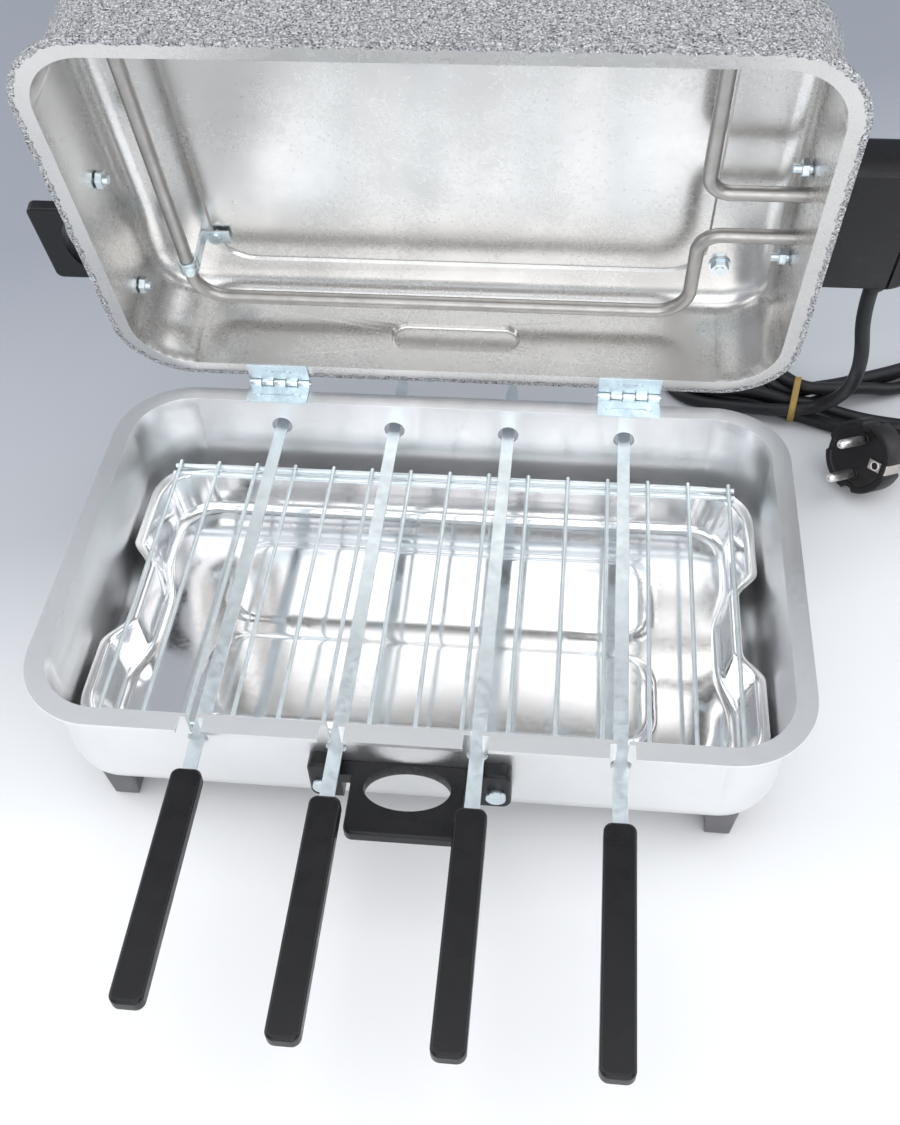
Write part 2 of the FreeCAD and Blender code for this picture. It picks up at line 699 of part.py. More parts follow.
def make_skewer(index, x):
    """A flat pointed blade that turns about its own length, in a flat moulded grip."""
    push = f"push_{index}"
    front = f"(-grip_start + {push})"
    rear = f"(blade_rear + {push})"
    tang_start = f"({front} - tang)"
    strip = box(f"strip_{index}", "blade_width", f"{rear} - blade_tip - {tang_start}",
                "blade_sheet", f"{x} - blade_width / 2", tang_start,
                SKEWER_Z + " - blade_sheet / 2")
    tip = doc.addObject("Part::Wedge", f"tip_{index}")
    bind(tip, Xmin="0", Xmax="blade_width", Ymin="0", Ymax="blade_tip", Zmin="0",
         Zmax="blade_sheet", X2min="blade_width / 2 - 0.4", X2max="blade_width / 2 + 0.4",
         Z2min="blade_sheet / 4", Z2max="blade_sheet * 3 / 4")
    place(tip, f"{x} - blade_width / 2", f"{rear} - blade_tip",
          SKEWER_Z + " - blade_sheet / 2")
    on_base(f"skewer_blade_{index}", fuse(f"skewer_blade_{index}", [strip, tip]))
    grip = rounded_block(f"grip_{index}", "grip_width", "grip_length", "grip_corner",
                         "grip_thick", top_round="1.6", bottom_round="1.6")
    placed = place(wrapped(f"grip_placed_{index}", grip), x, f"{front} - grip_length / 2",
                   SKEWER_Z + " - grip_thick / 2")
    hollow = box(f"tang_hollow_{index}", "blade_width", "tang + 20", "blade_sheet",
                 f"{x} - blade_width / 2", tang_start, SKEWER_Z + " - blade_sheet / 2")
    on_base(f"skewer_handle_{index}", cut(f"skewer_handle_{index}", placed, [hollow]))


for skewer_index, skewer_x in enumerate(SKEWER_X, start=1):
    make_skewer(skewer_index, skewer_x)


# ---------------------------------------------------------------- drip tray

def arc_step(start, end, bend):
    """Two equal tangent arcs from start to end, an S that leaves and arrives along Y."""
    middle = (start + end) * 0.5
    run = end - start
    tilt = math.atan2(abs(run.x), abs(run.y))
    radius = abs(run.y) / 4 / math.sin(tilt) / math.cos(tilt)
    sag = radius * (1 - math.cos(tilt))
    chord = (middle - start).normalize()
    side = Vector(-chord.y, chord.x, 0) * bend
    first = Part.Arc(start, (start + middle) * 0.5 + side * sag, middle)
    second = Part.Arc(middle, (middle + end) * 0.5 - side * sag, end)
    return [first.toShape(), second.toShape()]


def waisted_outline(inset, height):
    """The tray's outline at a height, moved in by inset: rounded, with cut-in sides."""
    x = number("tray_width / 2") - inset
    y = number("tray_depth / 2") - inset
    r = number("tray_corner") - inset * 0.6
    waist = number("waist_depth")
    flat = number("waist_flat / 2")
    ramp = flat + number("waist_ramp")
    slant = r * (1 - math.sqrt(0.5))

    def point(px, py):
        return Vector(px, py, height)

    edges = []
    for side in (1, -1):
        edges += [
            Part.Arc(point(side * (r - x) * -1, side * -y),
                     point(side * (x - slant), side * (slant - y)),
                     point(side * x, side * (r - y))).toShape(),
            Part.LineSegment(point(side * x, side * (r - y)),
                             point(side * x, side * -ramp)).toShape(),
        ]
        edges += arc_step(point(side * x, side * -ramp),
                          point(side * (x - waist), side * -flat), -1)
        edges.append(Part.LineSegment(point(side * (x - waist), side * -flat),
                                      point(side * (x - waist), side * flat)).toShape())
        edges += arc_step(point(side * (x - waist), side * flat),
                          point(side * x, side * ramp), 1)
        edges += [
            Part.LineSegment(point(side * x, side * ramp),
                             point(side * x, side * (y - r))).toShape(),
            Part.Arc(point(side * x, side * (y - r)),
                     point(side * (x - slant), side * (y - slant)),
                     point(side * (x - r), side * y)).toShape(),
            Part.LineSegment(point(side * (x - r), side * y),
                             point(side * (r - x), side * y)).toShape(),
        ]
    return Part.Wire(edges)


def tray_shape():
    """A thin pan with a flat flange: the outer hull less the hollow."""
    rim, floor = number("tray_rim"), number("tray_floor")
    sheet = number("tray_sheet")
    flange, slope = number("tray_flange"), number("tray_slope")
    hull = Part.makeLoft([waisted_outline(flange + slope, floor),
                          waisted_outline(flange, rim)], True, True)
    hollow = Part.makeLoft([waisted_outline(flange + slope + sheet, floor + sheet),
                            waisted_outline(flange + sheet * 0.6, rim)], True, True)
    border = Part.Face(waisted_outline(0, rim - sheet)).extrude(Vector(0, 0, sheet))
    return hull.fuse(border).cut(hollow).removeSplitter()


on_base("drip_tray", feature("drip_tray", tray_shape()))


# ---------------------------------------------------------------- wire rack

CROSS_Z = "(tray_rim + rack_cross_radius + 0.4)"
WIRE_Z = f"({CROSS_Z} + rack_cross_radius + rack_wire_radius)"


def make_rack():
    count = int(number("rack_wires"))
    wires = []
    for index in range(count):
        x = f"rack_width * ({index} / (rack_wires - 1) - 0.5)"
        wires.append(rod(f"rack_wire_{index + 1}", "rack_wire_radius", "rack_depth", x,
                         "-rack_depth / 2", WIRE_Z, "y"))
    crosses = []
    for side in (-1, 1):
        for step in (0, 1):
            y = f"{side} * (rack_depth / 2 - rack_cross_radius - {step} * rack_cross_gap)"
            crosses.append(rod(f"rack_cross_{side + 1}_{step}", "rack_cross_radius",
                               "rack_width + 6", "-rack_width / 2 - 3", y, CROSS_Z, "x"))
    on_base("rack_long_wires", group("rack_long_wires", wires))
    on_base("rack_cross_wires", group("rack_cross_wires", crosses))


make_rack()


# ---------------------------------------------------------------- tubes along bent paths

def rounded_path(points, radii):
    """Straight runs joined by tangent arcs, one radius for each inner point."""
    edges = []
    start = points[0]
    for index in range(1, len(points) - 1):
        before, here, after = points[index - 1:index + 2]
        back = (before - here).normalize()
        ahead = (after - here).normalize()
        half_turn = (math.pi - back.getAngle(ahead)) / 2
        radius = radii[index - 1]
        reach = radius * math.tan(half_turn)
        first = here + back * reach
        last = here + ahead * reach
        inward = (back + ahead).normalize()
        middle = here + inward * (radius / math.cos(half_turn) - radius)
        edges.append(Part.LineSegment(start, first).toShape())
        edges.append(Part.Arc(first, middle, last).toShape())
        start = last
    edges.append(Part.LineSegment(start, points[-1]).toShape())
    return Part.Wire(edges)


def tube_along(path, radius):
    first = path.OrderedEdges[0]
    start = path.OrderedVertexes[0].Point
    tangent = first.tangentAt(first.FirstParameter)
    ring = Part.Wire([Part.makeCircle(radius, start, tangent)])
    tube = path.makePipeShell([ring], True, True)
    expected = math.pi * radius ** 2 * path.Length
    print(f"tube volume {tube.Volume:.0f}, section times length {expected:.0f}")
    return tube


def make_element():
    """One bent tube: a wide loop under the lid, both ends out through the right wall."""
    left, right = number("element_left"), number("element_right")
    near, far = -number("element_near"), -number("element_far")
    end_near, end_far = -number("element_end_near"), -number("element_end_far")
    outside, depth = number("element_end_x"), number("element_depth")
    corners = [(outside, end_near), (right, end_near), (right, near), (left, near),
               (left, far), (right, far), (right, end_far), (outside, end_far)]
    points = [Vector(x, y, depth) for x, y in corners]
    bends = [number("element_bend")] * (len(points) - 2)
    bends[1] = bends[2] = bends[3] = bends[4] = number("element_bend") + 2
    bends[0] = bends[5] = number("element_bend") - 4
    on_lid("heating_element", feature("heating_element",
                                      tube_along(rounded_path(points, bends),
                                                 number("element_radius"))))


make_element()


def make_clip(name, x, y, along):
    """A strap round the tube, a leg up to the lid's floor and a screwed tab."""
    low_x, low_y = (f"({x})", f"({y} - clip_width / 2)")
    long_x, long_y = "14", "clip_width"
    thin_x, thin_y = "clip_sheet", "clip_width"
    hole_start = (x, f"{y} - 15")
    ring_start = (x, low_y)
    if along == "x":
        low_x, low_y = (f"({x} - clip_width / 2)", f"({y})")
        long_x, long_y = long_y, long_x
        thin_x, thin_y = thin_y, thin_x
        hole_start = (f"{x} - 15", y)
        ring_start = (low_x, y)
    bore = "(element_radius + 0.03)"
    leg_x = low_x + " + " + bore if along == "y" else low_x
    leg_y = low_y + " + " + bore if along == "x" else low_y
    tab_x, tab_y = clip_screw_place(x, y, along)
    ring = rod("ring_" + name, bore + " + clip_sheet", "clip_width", *ring_start,
               "element_depth", along)
    hole = rod("ring_hole_" + name, bore, "30", *hole_start, "element_depth", along)
    leg = box("leg_" + name, thin_x, thin_y, FLOOR_Z + " - element_depth - 2", leg_x, leg_y,
              "element_depth + 2")
    tab = box("tab_" + name, long_x, long_y, "clip_sheet", leg_x, leg_y,
              FLOOR_Z + " - clip_sheet")
    tab_hole = rod("tab_hole_" + name, "1.5", "30", tab_x, tab_y, "element_depth")
    strap = cut("strap_" + name, fuse("strap_full_" + name, [ring, leg, tab]),
                [hole, tab_hole])
    screw = fuse("clip_screw_" + name, [
        rod("clip_shank_" + name, "1.5", "sheet + clip_sheet + emboss_step + 1", tab_x, tab_y,
            FLOOR_Z + " - clip_sheet"),
        rod("clip_head_" + name, "3", "1.6", tab_x, tab_y, FLOOR_Z + " - clip_sheet - 1.6"),
    ])
    return strap, screw


clip_parts = [make_clip(*clip) for clip in CLIPS]
on_lid("element_clips", group("element_clips", [strap for strap, screw in clip_parts]))
on_lid("element_clip_screws", group("element_clip_screws",
                                    [screw for strap, screw in clip_parts]))

earth = [
    rod("earth_shank", "screw_radius", "sheet + 6", "earth_x", "-earth_back", FLOOR_Z + " - 4"),
    rod("earth_washer", "5", "1", "earth_x", "-earth_back", FLOOR_Z + " - 1"),
    nut("earth_nut", "4.2", "2.6", "earth_x", "-earth_back", FLOOR_Z + " - 3.6", "z"),
]
on_lid("earth_stud", fuse("earth_stud", earth))


# ---------------------------------------------------------------- lid's left handle

SIDE_TURN = Rotation(Vector(0, -1, 0), Vector(-1, 0, 0), Vector(0, 0, -1), "ZXY")
SIDE_WALL = f"-{MOUTH_X} - {wall_offset('side_handle_below_rim')}"
SIDE_TOP = "pin_above + side_handle_below_rim"
side_handle = place(handle_solid("side"), SIDE_WALL, "-side_handle_middle", SIDE_TOP, SIDE_TURN)
on_lid("lid_side_handle", wrapped("lid_side_handle", side_handle))
handle_fixings("side", "(sheet + 1)", SIDE_TURN, SIDE_WALL, "-side_handle_middle", SIDE_TOP,
               on_lid, "lid_side_handle")


# ---------------------------------------------------------------- terminal box on the right

BOX_WALL_X = f"({MOUTH_X} + {wall_offset('box_top')})"
BOX_LOW_Y = "(-box_near - box_length)"
BOX_LOW_Z = "(pin_above + box_top)"
CORD_EXIT_Z = "(pin_above + cord_exit_depth)"


def make_terminal_box():
    reach = f"(box_out - cover_sheet - {BOX_WALL_X})"
    turned = Rotation(Vector(0, 1, 0), 90)
    block = rounded_block("box_block", "box_thick", "box_length", "5", reach)
    block = place(wrapped("box_block_placed", block), BOX_WALL_X,
                  f"{BOX_LOW_Y} + box_length / 2", f"{BOX_LOW_Z} + box_thick / 2", turned)
    hollow = rounded_block("box_hollow", "box_thick - 2 * box_wall",
                           "box_length - 2 * box_wall", "3", "box_out")
    hollow = place(wrapped("box_hollow_placed", hollow), BOX_WALL_X + " + box_wall",
                   f"{BOX_LOW_Y} + box_length / 2", f"{BOX_LOW_Z} + box_thick / 2", turned)
    tools = [hollow]
    tools.append(rod("box_cord_hole", "cord_radius + 1.2", "20", "cord_exit_x",
                     "-box_near - 10", CORD_EXIT_Z, "y"))
    for index, y in enumerate(BOX_SCREWS):
        tools.append(rod(f"box_screw_hole_{index}", "screw_radius", "20",
                         BOX_WALL_X + " - 5", y, BOX_SCREW_Z, "x"))
    for index, y in enumerate(ELEMENT_ENDS):
        tools.append(rod(f"box_element_hole_{index}", "element_radius + 0.05", "10",
                         BOX_WALL_X + " - 5", y, "element_depth", "x"))
    on_lid("terminal_box", cut("terminal_box", block, tools))
    cover = rounded_block("cover_block", "box_thick", "box_length", "5", "cover_sheet",
                          top_round="1.2")
    cover = place(wrapped("cover_placed", cover), "box_out - cover_sheet",
                  f"{BOX_LOW_Y} + box_length / 2", f"{BOX_LOW_Z} + box_thick / 2", turned)
    on_lid("terminal_box_cover", wrapped("terminal_box_cover", cover))
    screws, nuts = [], []
    for index, y in enumerate(BOX_SCREWS):
        screws.append(fuse(f"box_screw_{index}", [
            rod(f"box_shank_{index}", "screw_radius", "box_wall + sheet + 8",
                BOX_WALL_X + " - sheet - 8", y, BOX_SCREW_Z, "x"),
            rod(f"box_head_{index}", "screw_head_radius", "2.2", BOX_WALL_X + " + box_wall",
                y, BOX_SCREW_Z, "x"),
        ]))
        hexagon = nut(f"box_nut_{index}", "nut_radius", "nut_thick",
                      BOX_WALL_X + " - sheet - 1.6 - nut_thick", y, BOX_SCREW_Z, "x")
        thread = rod(f"box_thread_{index}", "screw_radius", "30", MOUTH_X + " - 20", y,
                     BOX_SCREW_Z, "x")
        nuts.append(cut(f"box_nut_cut_{index}", hexagon, [thread]))
    on_lid("terminal_box_screws", group("terminal_box_screws", screws))
    on_lid("terminal_box_nuts", group("terminal_box_nuts", nuts))


make_terminal_box()

terminals = []
for end_index, end_y in enumerate(ELEMENT_ENDS):
    terminals.append(rod(f"terminal_stud_{end_index}", "1.6", "9", "element_end_x", end_y,
                         "element_depth", "x"))
on_lid("element_terminals", group("element_terminals", terminals))

BLOCK_LOW_Y = "-element_end_far - 5"
block_body = box("block_body", "block_width", "block_length", "block_thick",
                 "element_end_x + 9", BLOCK_LOW_Y, "element_depth - block_thick / 2")
on_lid("terminal_block", wrapped("terminal_block", block_body))

grommet = cut("grommet_cut", fuse("grommet_full", [
    rod("grommet_neck", "cord_radius + 1.2", "box_wall", "cord_exit_x", "-box_near - box_wall",
        CORD_EXIT_Z, "y"),
    rod("grommet_lip", "cord_radius + 2.4", "cord_exit_drop", "cord_exit_x", "-box_near",
        CORD_EXIT_Z, "y"),
]), [rod("grommet_hole", "cord_radius", "30", "cord_exit_x", "-box_near - 15", CORD_EXIT_Z,
         "y")])
on_lid("cord_grommet", wrapped("cord_grommet", grommet))

# The lead's end inside the box runs straight from the grommet to the terminal block.
inner_lead = rod("inner_lead_rod", "cord_radius",
                 f"-box_near - ({BLOCK_LOW_Y} + block_length)", "cord_exit_x",
                 BLOCK_LOW_Y + " + block_length", CORD_EXIT_Z, "y")
on_lid("inner_lead", wrapped("inner_lead", inner_lead))


# ---------------------------------------------------------------- mains lead, tied in a hank

def lid_point(x, y, z):
    """A point of the closed lid, carried to its open rest pose, in the pan's frame."""
    turned = Rotation(Vector(1, 0, 0), -number("lid_open")).multVec(Vector(x, y, z))
    return turned + Vector(0, number("rim_depth / 2 + pin_behind"),
                           number("rim_height + pin_above"))


def run_radii(points):
    """Each arc takes 0.45 of the shorter of its two runs."""
    radii = []
    for index in range(1, len(points) - 1):
        before = points[index - 1] - points[index]
        after = points[index + 1] - points[index]
        half_turn = (math.pi - before.getAngle(after)) / 2
        radii.append(0.45 * min(before.Length, after.Length) / math.tan(half_turn))
    return radii


def free_lead(name, points):
    radii = run_radii(points)
    path = rounded_path(points, radii)
    print(name, "length", round(path.Length, 1), "radii", [round(r, 1) for r in radii])
    on_base(name, feature(name, tube_along(path, number("cord_radius"))))


EXIT = lid_point(number("cord_exit_x"), -number("box_near - cord_exit_drop"),
                 number(CORD_EXIT_Z))
DOWN = Rotation(Vector(1, 0, 0), -number("lid_open")).multVec(Vector(0, 1, 0))
DROP_ROUTE = [
    EXIT,
    EXIT + DOWN * 22,
    Vector(195.5, 125, 90),
    Vector(198.5, 141, 60),
    Vector(199.5, 160.5, 36.5),
    Vector(197.5, 172, 21.5),
    Vector(189.5, 177.6, 11.2),
    Vector(184, 177.4, 10),
]
TIE_LOW, TIE_HIGH = Vector(178, 172.4, 0), Vector(184, 197.4, 21.6)
TIE_SHEET = 1.2


HANK_OUTLINE = [
    (106.5, 222), (105.5, 206), (112, 192), (126, 185), (150, 180.5), (168, 174.5),
    (186, 172.5), (200, 169.5), (214, 164.5), (240, 164), (262, 159), (290, 162),
    (302, 180), (302.5, 200), (297, 221), (280, 234), (254, 233), (238, 220), (220, 215.5),
    (202, 206), (192, 198), (180, 200), (176, 220), (168, 242), (152, 252), (128, 251),
    (112, 238),
]
HANK_NECK = [(164, 174.5), (186, 173), (212, 184), (216, 202), (176, 212), (166, 214)]


def prism(points, height):
    ring = [Vector(x, y, 0) for x, y in points]
    face = Part.Face(Part.makePolygon(ring + ring[:1]))
    return face.extrude(Vector(0, 0, height))


def make_hank():
    """The outer shape of the folded lead, higher where a flat tie holds it together."""
    hank = prism(HANK_OUTLINE, number("hank_height"))
    hank = hank.fuse(prism(HANK_NECK, number("hank_neck_height"))).removeSplitter()
    size = TIE_HIGH - TIE_LOW
    band = Part.makeBox(size.x, size.y, size.z, TIE_LOW)
    inset = Vector(-1, TIE_SHEET, TIE_SHEET)
    window = Part.makeBox(size.x + 2, size.y - 2 * TIE_SHEET, size.z - 2 * TIE_SHEET,
                          TIE_LOW + inset)
    band = band.cut(window)
    on_base("cord_hank", feature("cord_hank", hank.cut(band)))
    on_base("cord_tie", feature("cord_tie", band))


make_hank()
free_lead("cord_drop", DROP_ROUTE)


# ---------------------------------------------------------------- plug

PLUG_FACE = Vector(206.3, 127.4, 23.5)
PLUG_TURN = Rotation(Vector(0, 0, 1), 219).multiply(Rotation(Vector(0, 1, 0), -20))


def plug_point(ahead, side, up):
    """A point given along the plug's axis towards its pins, to its side and upwards."""
    return PLUG_FACE + PLUG_TURN.multVec(Vector(ahead, side, up))


def plug_cylinder(radius, ahead, side, up, length):
    axis = PLUG_TURN.multVec(Vector(1, 0, 0))
    return Part.makeCylinder(radius, length, plug_point(ahead, side, up), axis)


def make_plug():
    face_radius = number("plug_face_radius")
    length = number("plug_length")
    axis = PLUG_TURN.multVec(Vector(1, 0, 0))
    disc = plug_cylinder(face_radius, -14, 0, 0, 14)
    grip = Part.makeCone(7, face_radius - 3, length - 14, plug_point(-length, 0, 0), axis)
    body = disc.fuse(grip)
    pitch = number("plug_pin_pitch") / 2
    pin_radius = number("plug_pin_radius")
    roll = math.radians(number("plug_roll"))
    pins = []
    for side in (-1, 1):
        y, z = side * pitch * math.cos(roll), side * pitch * math.sin(roll)
        root = plug_cylinder(number("plug_pin_root"), -8, y, z, 8)
        body = body.cut(root)
        pins.append(plug_cylinder(pin_radius, 0, y, z, number("plug_pin_length")).fuse(root))
    clips = []
    for side in (-1, 1):
        y = -side * (face_radius - 1.2) * math.sin(roll)
        z = side * (face_radius - 1.2) * math.cos(roll)
        clip = plug_cylinder(3, -10, y, z, 10).common(
            plug_cylinder(face_radius, -14, 0, 0, 14))
        body = body.cut(clip)
        clips.append(clip)
    on_base("plug_body", feature("plug_body", body.removeSplitter()))
    on_base("plug_pins", feature("plug_pins", Part.makeCompound(pins)))
    on_base("plug_earth_contacts", feature("plug_earth_contacts", Part.makeCompound(clips)))


make_plug()

TAIL_START = plug_point(-number("plug_length"), 0, 0)
TAIL_AXIS = PLUG_TURN.multVec(Vector(-1, 0, 0))
TAIL_ROUTE = [
    TAIL_START,
    TAIL_START + TAIL_AXIS * 9,
    Vector(253, 164.5, 4.4),
    Vector(266, 163.5, 3.7),
]
free_lead("cord_tail", TAIL_ROUTE)


# ---------------------------------------------------------------- checks and export

doc.recompute()
problems = []
for thing in doc.Objects:
    if "Invalid" in thing.State or "Error" in thing.State:
        problems.append(f"{thing.Name}: {thing.State}")
for thing in NODES:
    if thing.Shape.isNull() or not thing.Shape.isValid() or not thing.Shape.Solids:
        problems.append(f"{thing.Label}: bad shape")
if problems:
    raise RuntimeError("; ".join(problems))

whole = FreeCAD.BoundBox()
for thing in NODES:
    thing.Shape.exportStep(f"parts/{thing.Label}.step")
    if not thing.Label.startswith(("cord_drop", "cord_hank", "cord_tail", "cord_tie", "plug")):
        whole.add(thing.Shape.BoundBox)
print(len(NODES), "nodes; middle of the box", round((whole.XMin + whole.XMax) / 2, 2),
      round((whole.YMin + whole.YMax) / 2, 2), "lowest", round(whole.ZMin, 2))
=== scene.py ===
import math

import bmesh
import bpy
from mathutils import Matrix, Vector


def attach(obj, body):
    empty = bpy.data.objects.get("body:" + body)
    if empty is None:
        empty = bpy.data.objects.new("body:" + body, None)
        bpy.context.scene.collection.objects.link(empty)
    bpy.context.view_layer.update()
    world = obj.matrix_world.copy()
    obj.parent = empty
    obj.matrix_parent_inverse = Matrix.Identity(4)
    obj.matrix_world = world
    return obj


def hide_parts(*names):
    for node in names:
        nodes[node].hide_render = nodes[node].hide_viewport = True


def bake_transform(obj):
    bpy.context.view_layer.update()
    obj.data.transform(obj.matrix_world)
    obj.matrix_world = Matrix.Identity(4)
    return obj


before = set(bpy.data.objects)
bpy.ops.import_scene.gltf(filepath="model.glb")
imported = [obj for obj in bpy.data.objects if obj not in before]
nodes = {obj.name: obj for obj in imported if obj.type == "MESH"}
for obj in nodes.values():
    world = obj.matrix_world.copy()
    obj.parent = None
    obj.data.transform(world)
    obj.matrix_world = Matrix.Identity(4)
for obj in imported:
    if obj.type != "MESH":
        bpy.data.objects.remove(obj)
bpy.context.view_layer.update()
scene = bpy.context.scene

# Lengths in the tables below are millimetres in the pan's own coordinates, whose middle is at
# X = Y = 0 with the table at Z = 0; place() carries them to the frame's coordinates in metres.
# The lid's own coordinates are those of the closed lid, with the hinge pin's axis as X.
MM = 0.001
ORIGIN = Vector((-8.55, 33.6, 0))
LID_OPEN = math.radians(75.3)
PIN = Vector((0, 105, 77.5))
SWING = Matrix.Rotation(-LID_OPEN, 4, "X")
LID_FRAME = Matrix.Translation((ORIGIN + PIN) * MM) @ SWING @ Matrix.Scale(MM, 4)
PAN_FRAME = Matrix.Translation(ORIGIN * MM) @ Matrix.Scale(MM, 4)


def place(x, y, z):
    return (Vector((x, y, z)) + ORIGIN) * MM


# ---------------------------------------------------------------- camera

YAW = math.radians(7.49)
PITCH = math.radians(48.28)
ROLL = math.radians(2.64)
EYE = Vector((0.04875, -0.3371, 0.4881))
forward = Vector((-math.sin(YAW) * math.cos(PITCH), math.cos(YAW) * math.cos(PITCH),
                  -math.sin(PITCH)))
level = Vector((math.cos(YAW), math.sin(YAW), 0))
down = forward.cross(level)
right = level * math.cos(ROLL) + down * math.sin(ROLL)
low = down * math.cos(ROLL) - level * math.sin(ROLL)
camera_turn = Matrix((right, -low, -forward)).transposed().to_4x4()
camera = bpy.data.objects.new("camera", bpy.data.cameras.new("camera"))
scene.collection.objects.link(camera)
camera.data.lens = 40.94
camera.data.sensor_width = 36
camera.data.clip_start = 0.01
camera.matrix_world = Matrix.Translation(EYE) @ camera_turn
scene.camera = camera


# ---------------------------------------------------------------- materials

# Sockets of a mix node that blends colours.
MIX_FACTOR = 0
MIX_FIRST = 6
MIX_SECOND = 7
MIX_RESULT = 2


class Shader:
    """A small node-graph writer around one Principled shader. Scales are per metre."""

    def __init__(self, name, color, metallic=0.0, roughness=0.5, **sockets):
        self.material = bpy.data.materials.new(name)
        self.material.use_nodes = True
        self.tree = self.material.node_tree
        self.shader = self.tree.nodes["Principled BSDF"]
        self.shader.inputs["Base Color"].default_value = (*color, 1)
        self.shader.inputs["Metallic"].default_value = metallic
        self.shader.inputs["Roughness"].default_value = roughness
        for key, value in sockets.items():
            self.shader.inputs[key.replace("_", " ")].default_value = value
        self.coords = self.tree.nodes.new("ShaderNodeTexCoord").outputs["Object"]
        self.height = None

    def node(self, kind, values=None, **settings):
        """A node with its settings, and each socket linked or set to its value."""
        made = self.tree.nodes.new(kind)
        for key, value in settings.items():
            setattr(made, key, value)
        for key, value in (values or {}).items():
            if isinstance(value, bpy.types.NodeSocket):
                self.tree.links.new(value, made.inputs[key])
            else:
                made.inputs[key].default_value = value
        return made

    def stretched(self, x, y, z):
        return self.node("ShaderNodeMapping", {
            "Vector": self.coords, "Scale": (x, y, z)}).outputs["Vector"]

    def noise(self, scale, detail=2.0, rough=0.5, coords=None):
        return self.node("ShaderNodeTexNoise", {
            "Vector": coords or self.coords, "Scale": scale, "Detail": detail,
            "Roughness": rough}).outputs["Fac"]

    def cells(self, scale, feature="F1"):
        return self.node("ShaderNodeTexVoronoi", {
            "Vector": self.coords, "Scale": scale}, feature=feature).outputs["Distance"]

    def spread(self, value, low, high, start=0.0, end=1.0):
        """value's range low..high carried to start..end, with the ends held."""
        return self.node("ShaderNodeMapRange", {
            "Value": value, "From Min": low, "From Max": high, "To Min": start,
            "To Max": end}).outputs["Result"]

    def blend(self, factor, first, second):
        """The colour first where factor is 0, and second where it is 1."""
        values = {MIX_FACTOR: factor, MIX_FIRST: first, MIX_SECOND: second}
        for key in (MIX_FIRST, MIX_SECOND):
            if isinstance(values[key], tuple):
                values[key] = (*values[key], 1)
        return self.node("ShaderNodeMix", values, data_type="RGBA").outputs[MIX_RESULT]

    def maths(self, operation, first, second, third=None):
        values = {0: first, 1: second}
        if third is not None:
            values[2] = third
        return self.node("ShaderNodeMath", values, operation=operation).outputs[0]

    def into(self, socket, value):
        self.tree.links.new(value, self.shader.inputs[socket])

    def bump(self, value, strength, distance):
        """Adds a layer of relief, distance in millimetres."""
        inputs = {"Height": value, "Strength": strength, "Distance": distance * MM}
        if self.height is not None:
            inputs["Normal"] = self.height
        self.height = self.node("ShaderNodeBump", inputs).outputs["Normal"]
        self.into("Normal", self.height)


FLECK = (0.35, 0.34, 0.33)


def bare_aluminium(name, color, rough, wave, dark):
    """Pressed sheet: cloudy sheen, long faint draw lines, fine grain and small flecks."""
    made = Shader(name, color, 1.0, rough)
    cloud = made.noise(14, 4, 0.55)
    fine = made.noise(420, 3, 0.6)
    flecks = made.spread(made.cells(330), 0.10, 0.02)
    rare = made.spread(made.noise(55, 2, 0.5), 0.60, 0.68)
    mark = made.maths("MULTIPLY", flecks, rare)
    shade = made.blend(made.spread(cloud, 0.3, 0.7), tuple(c * dark for c in color), color)
    shade = made.blend(made.maths("MULTIPLY", mark, 0.2), shade, FLECK)
    made.into("Base Color", shade)
    grain = made.maths("MULTIPLY_ADD", fine, 0.16, rough - 0.08)
    sheen = made.spread(cloud, 0.3, 0.7, 0.05, -0.05)
    made.into("Roughness", made.maths("ADD", grain, sheen))
    made.bump(made.noise(9, 1.5, 0.4), 1.0, wave)
    made.bump(made.noise(60, 2, 0.5, made.stretched(0.15, 0.15, 6)), 0.15, 0.03)
    made.bump(fine, 0.05, 0.012)
    return made


def hammer_paint(name):
    """Grey speckled stove paint: pooled cells, black and pale specks."""
    made = Shader(name, (0.32, 0.32, 0.33), 0.35, 0.38)
    pools = made.cells(700, feature="SMOOTH_F1")
    specks = made.noise(1300, 2, 0.6)
    tone = made.blend(made.spread(pools, 0.05, 0.6), (0.62, 0.62, 0.63), (0.30, 0.30, 0.31))
    tone = made.blend(made.spread(specks, 0.57, 0.63), tone, (0.02, 0.02, 0.022))
    tone = made.blend(made.spread(specks, 0.42, 0.36), tone, (0.85, 0.85, 0.85))
    made.into("Base Color", tone)
    made.into("Roughness", made.spread(made.noise(200, 2), 0.3, 0.7, 0.28, 0.5))
    made.bump(pools, 0.8, 0.25)
    made.bump(specks, 0.5, 0.12)
    return made


def zinc(name, color=(0.78, 0.87, 0.91), rough=0.3):
    """Bright zinc plate with a pale blue cast, soft streaks and faint spangle."""
    made = Shader(name, color, 1.0, rough)
    cloud = made.noise(90, 4, 0.6)
    warm = tuple(c * 0.86 for c in color)
    tone = made.blend(made.spread(cloud, 0.35, 0.68), warm, color)
    spots = made.spread(made.noise(900, 2, 0.6), 0.66, 0.74, 0, 0.25)
    made.into("Base Color", made.blend(spots, tone, (0.42, 0.46, 0.48)))
    made.into("Roughness", made.spread(made.noise(260, 3, 0.6), 0.3, 0.7, rough - 0.08,
                                       rough + 0.12))
    made.bump(made.noise(500, 2, 0.5), 0.08, 0.02)
    return made


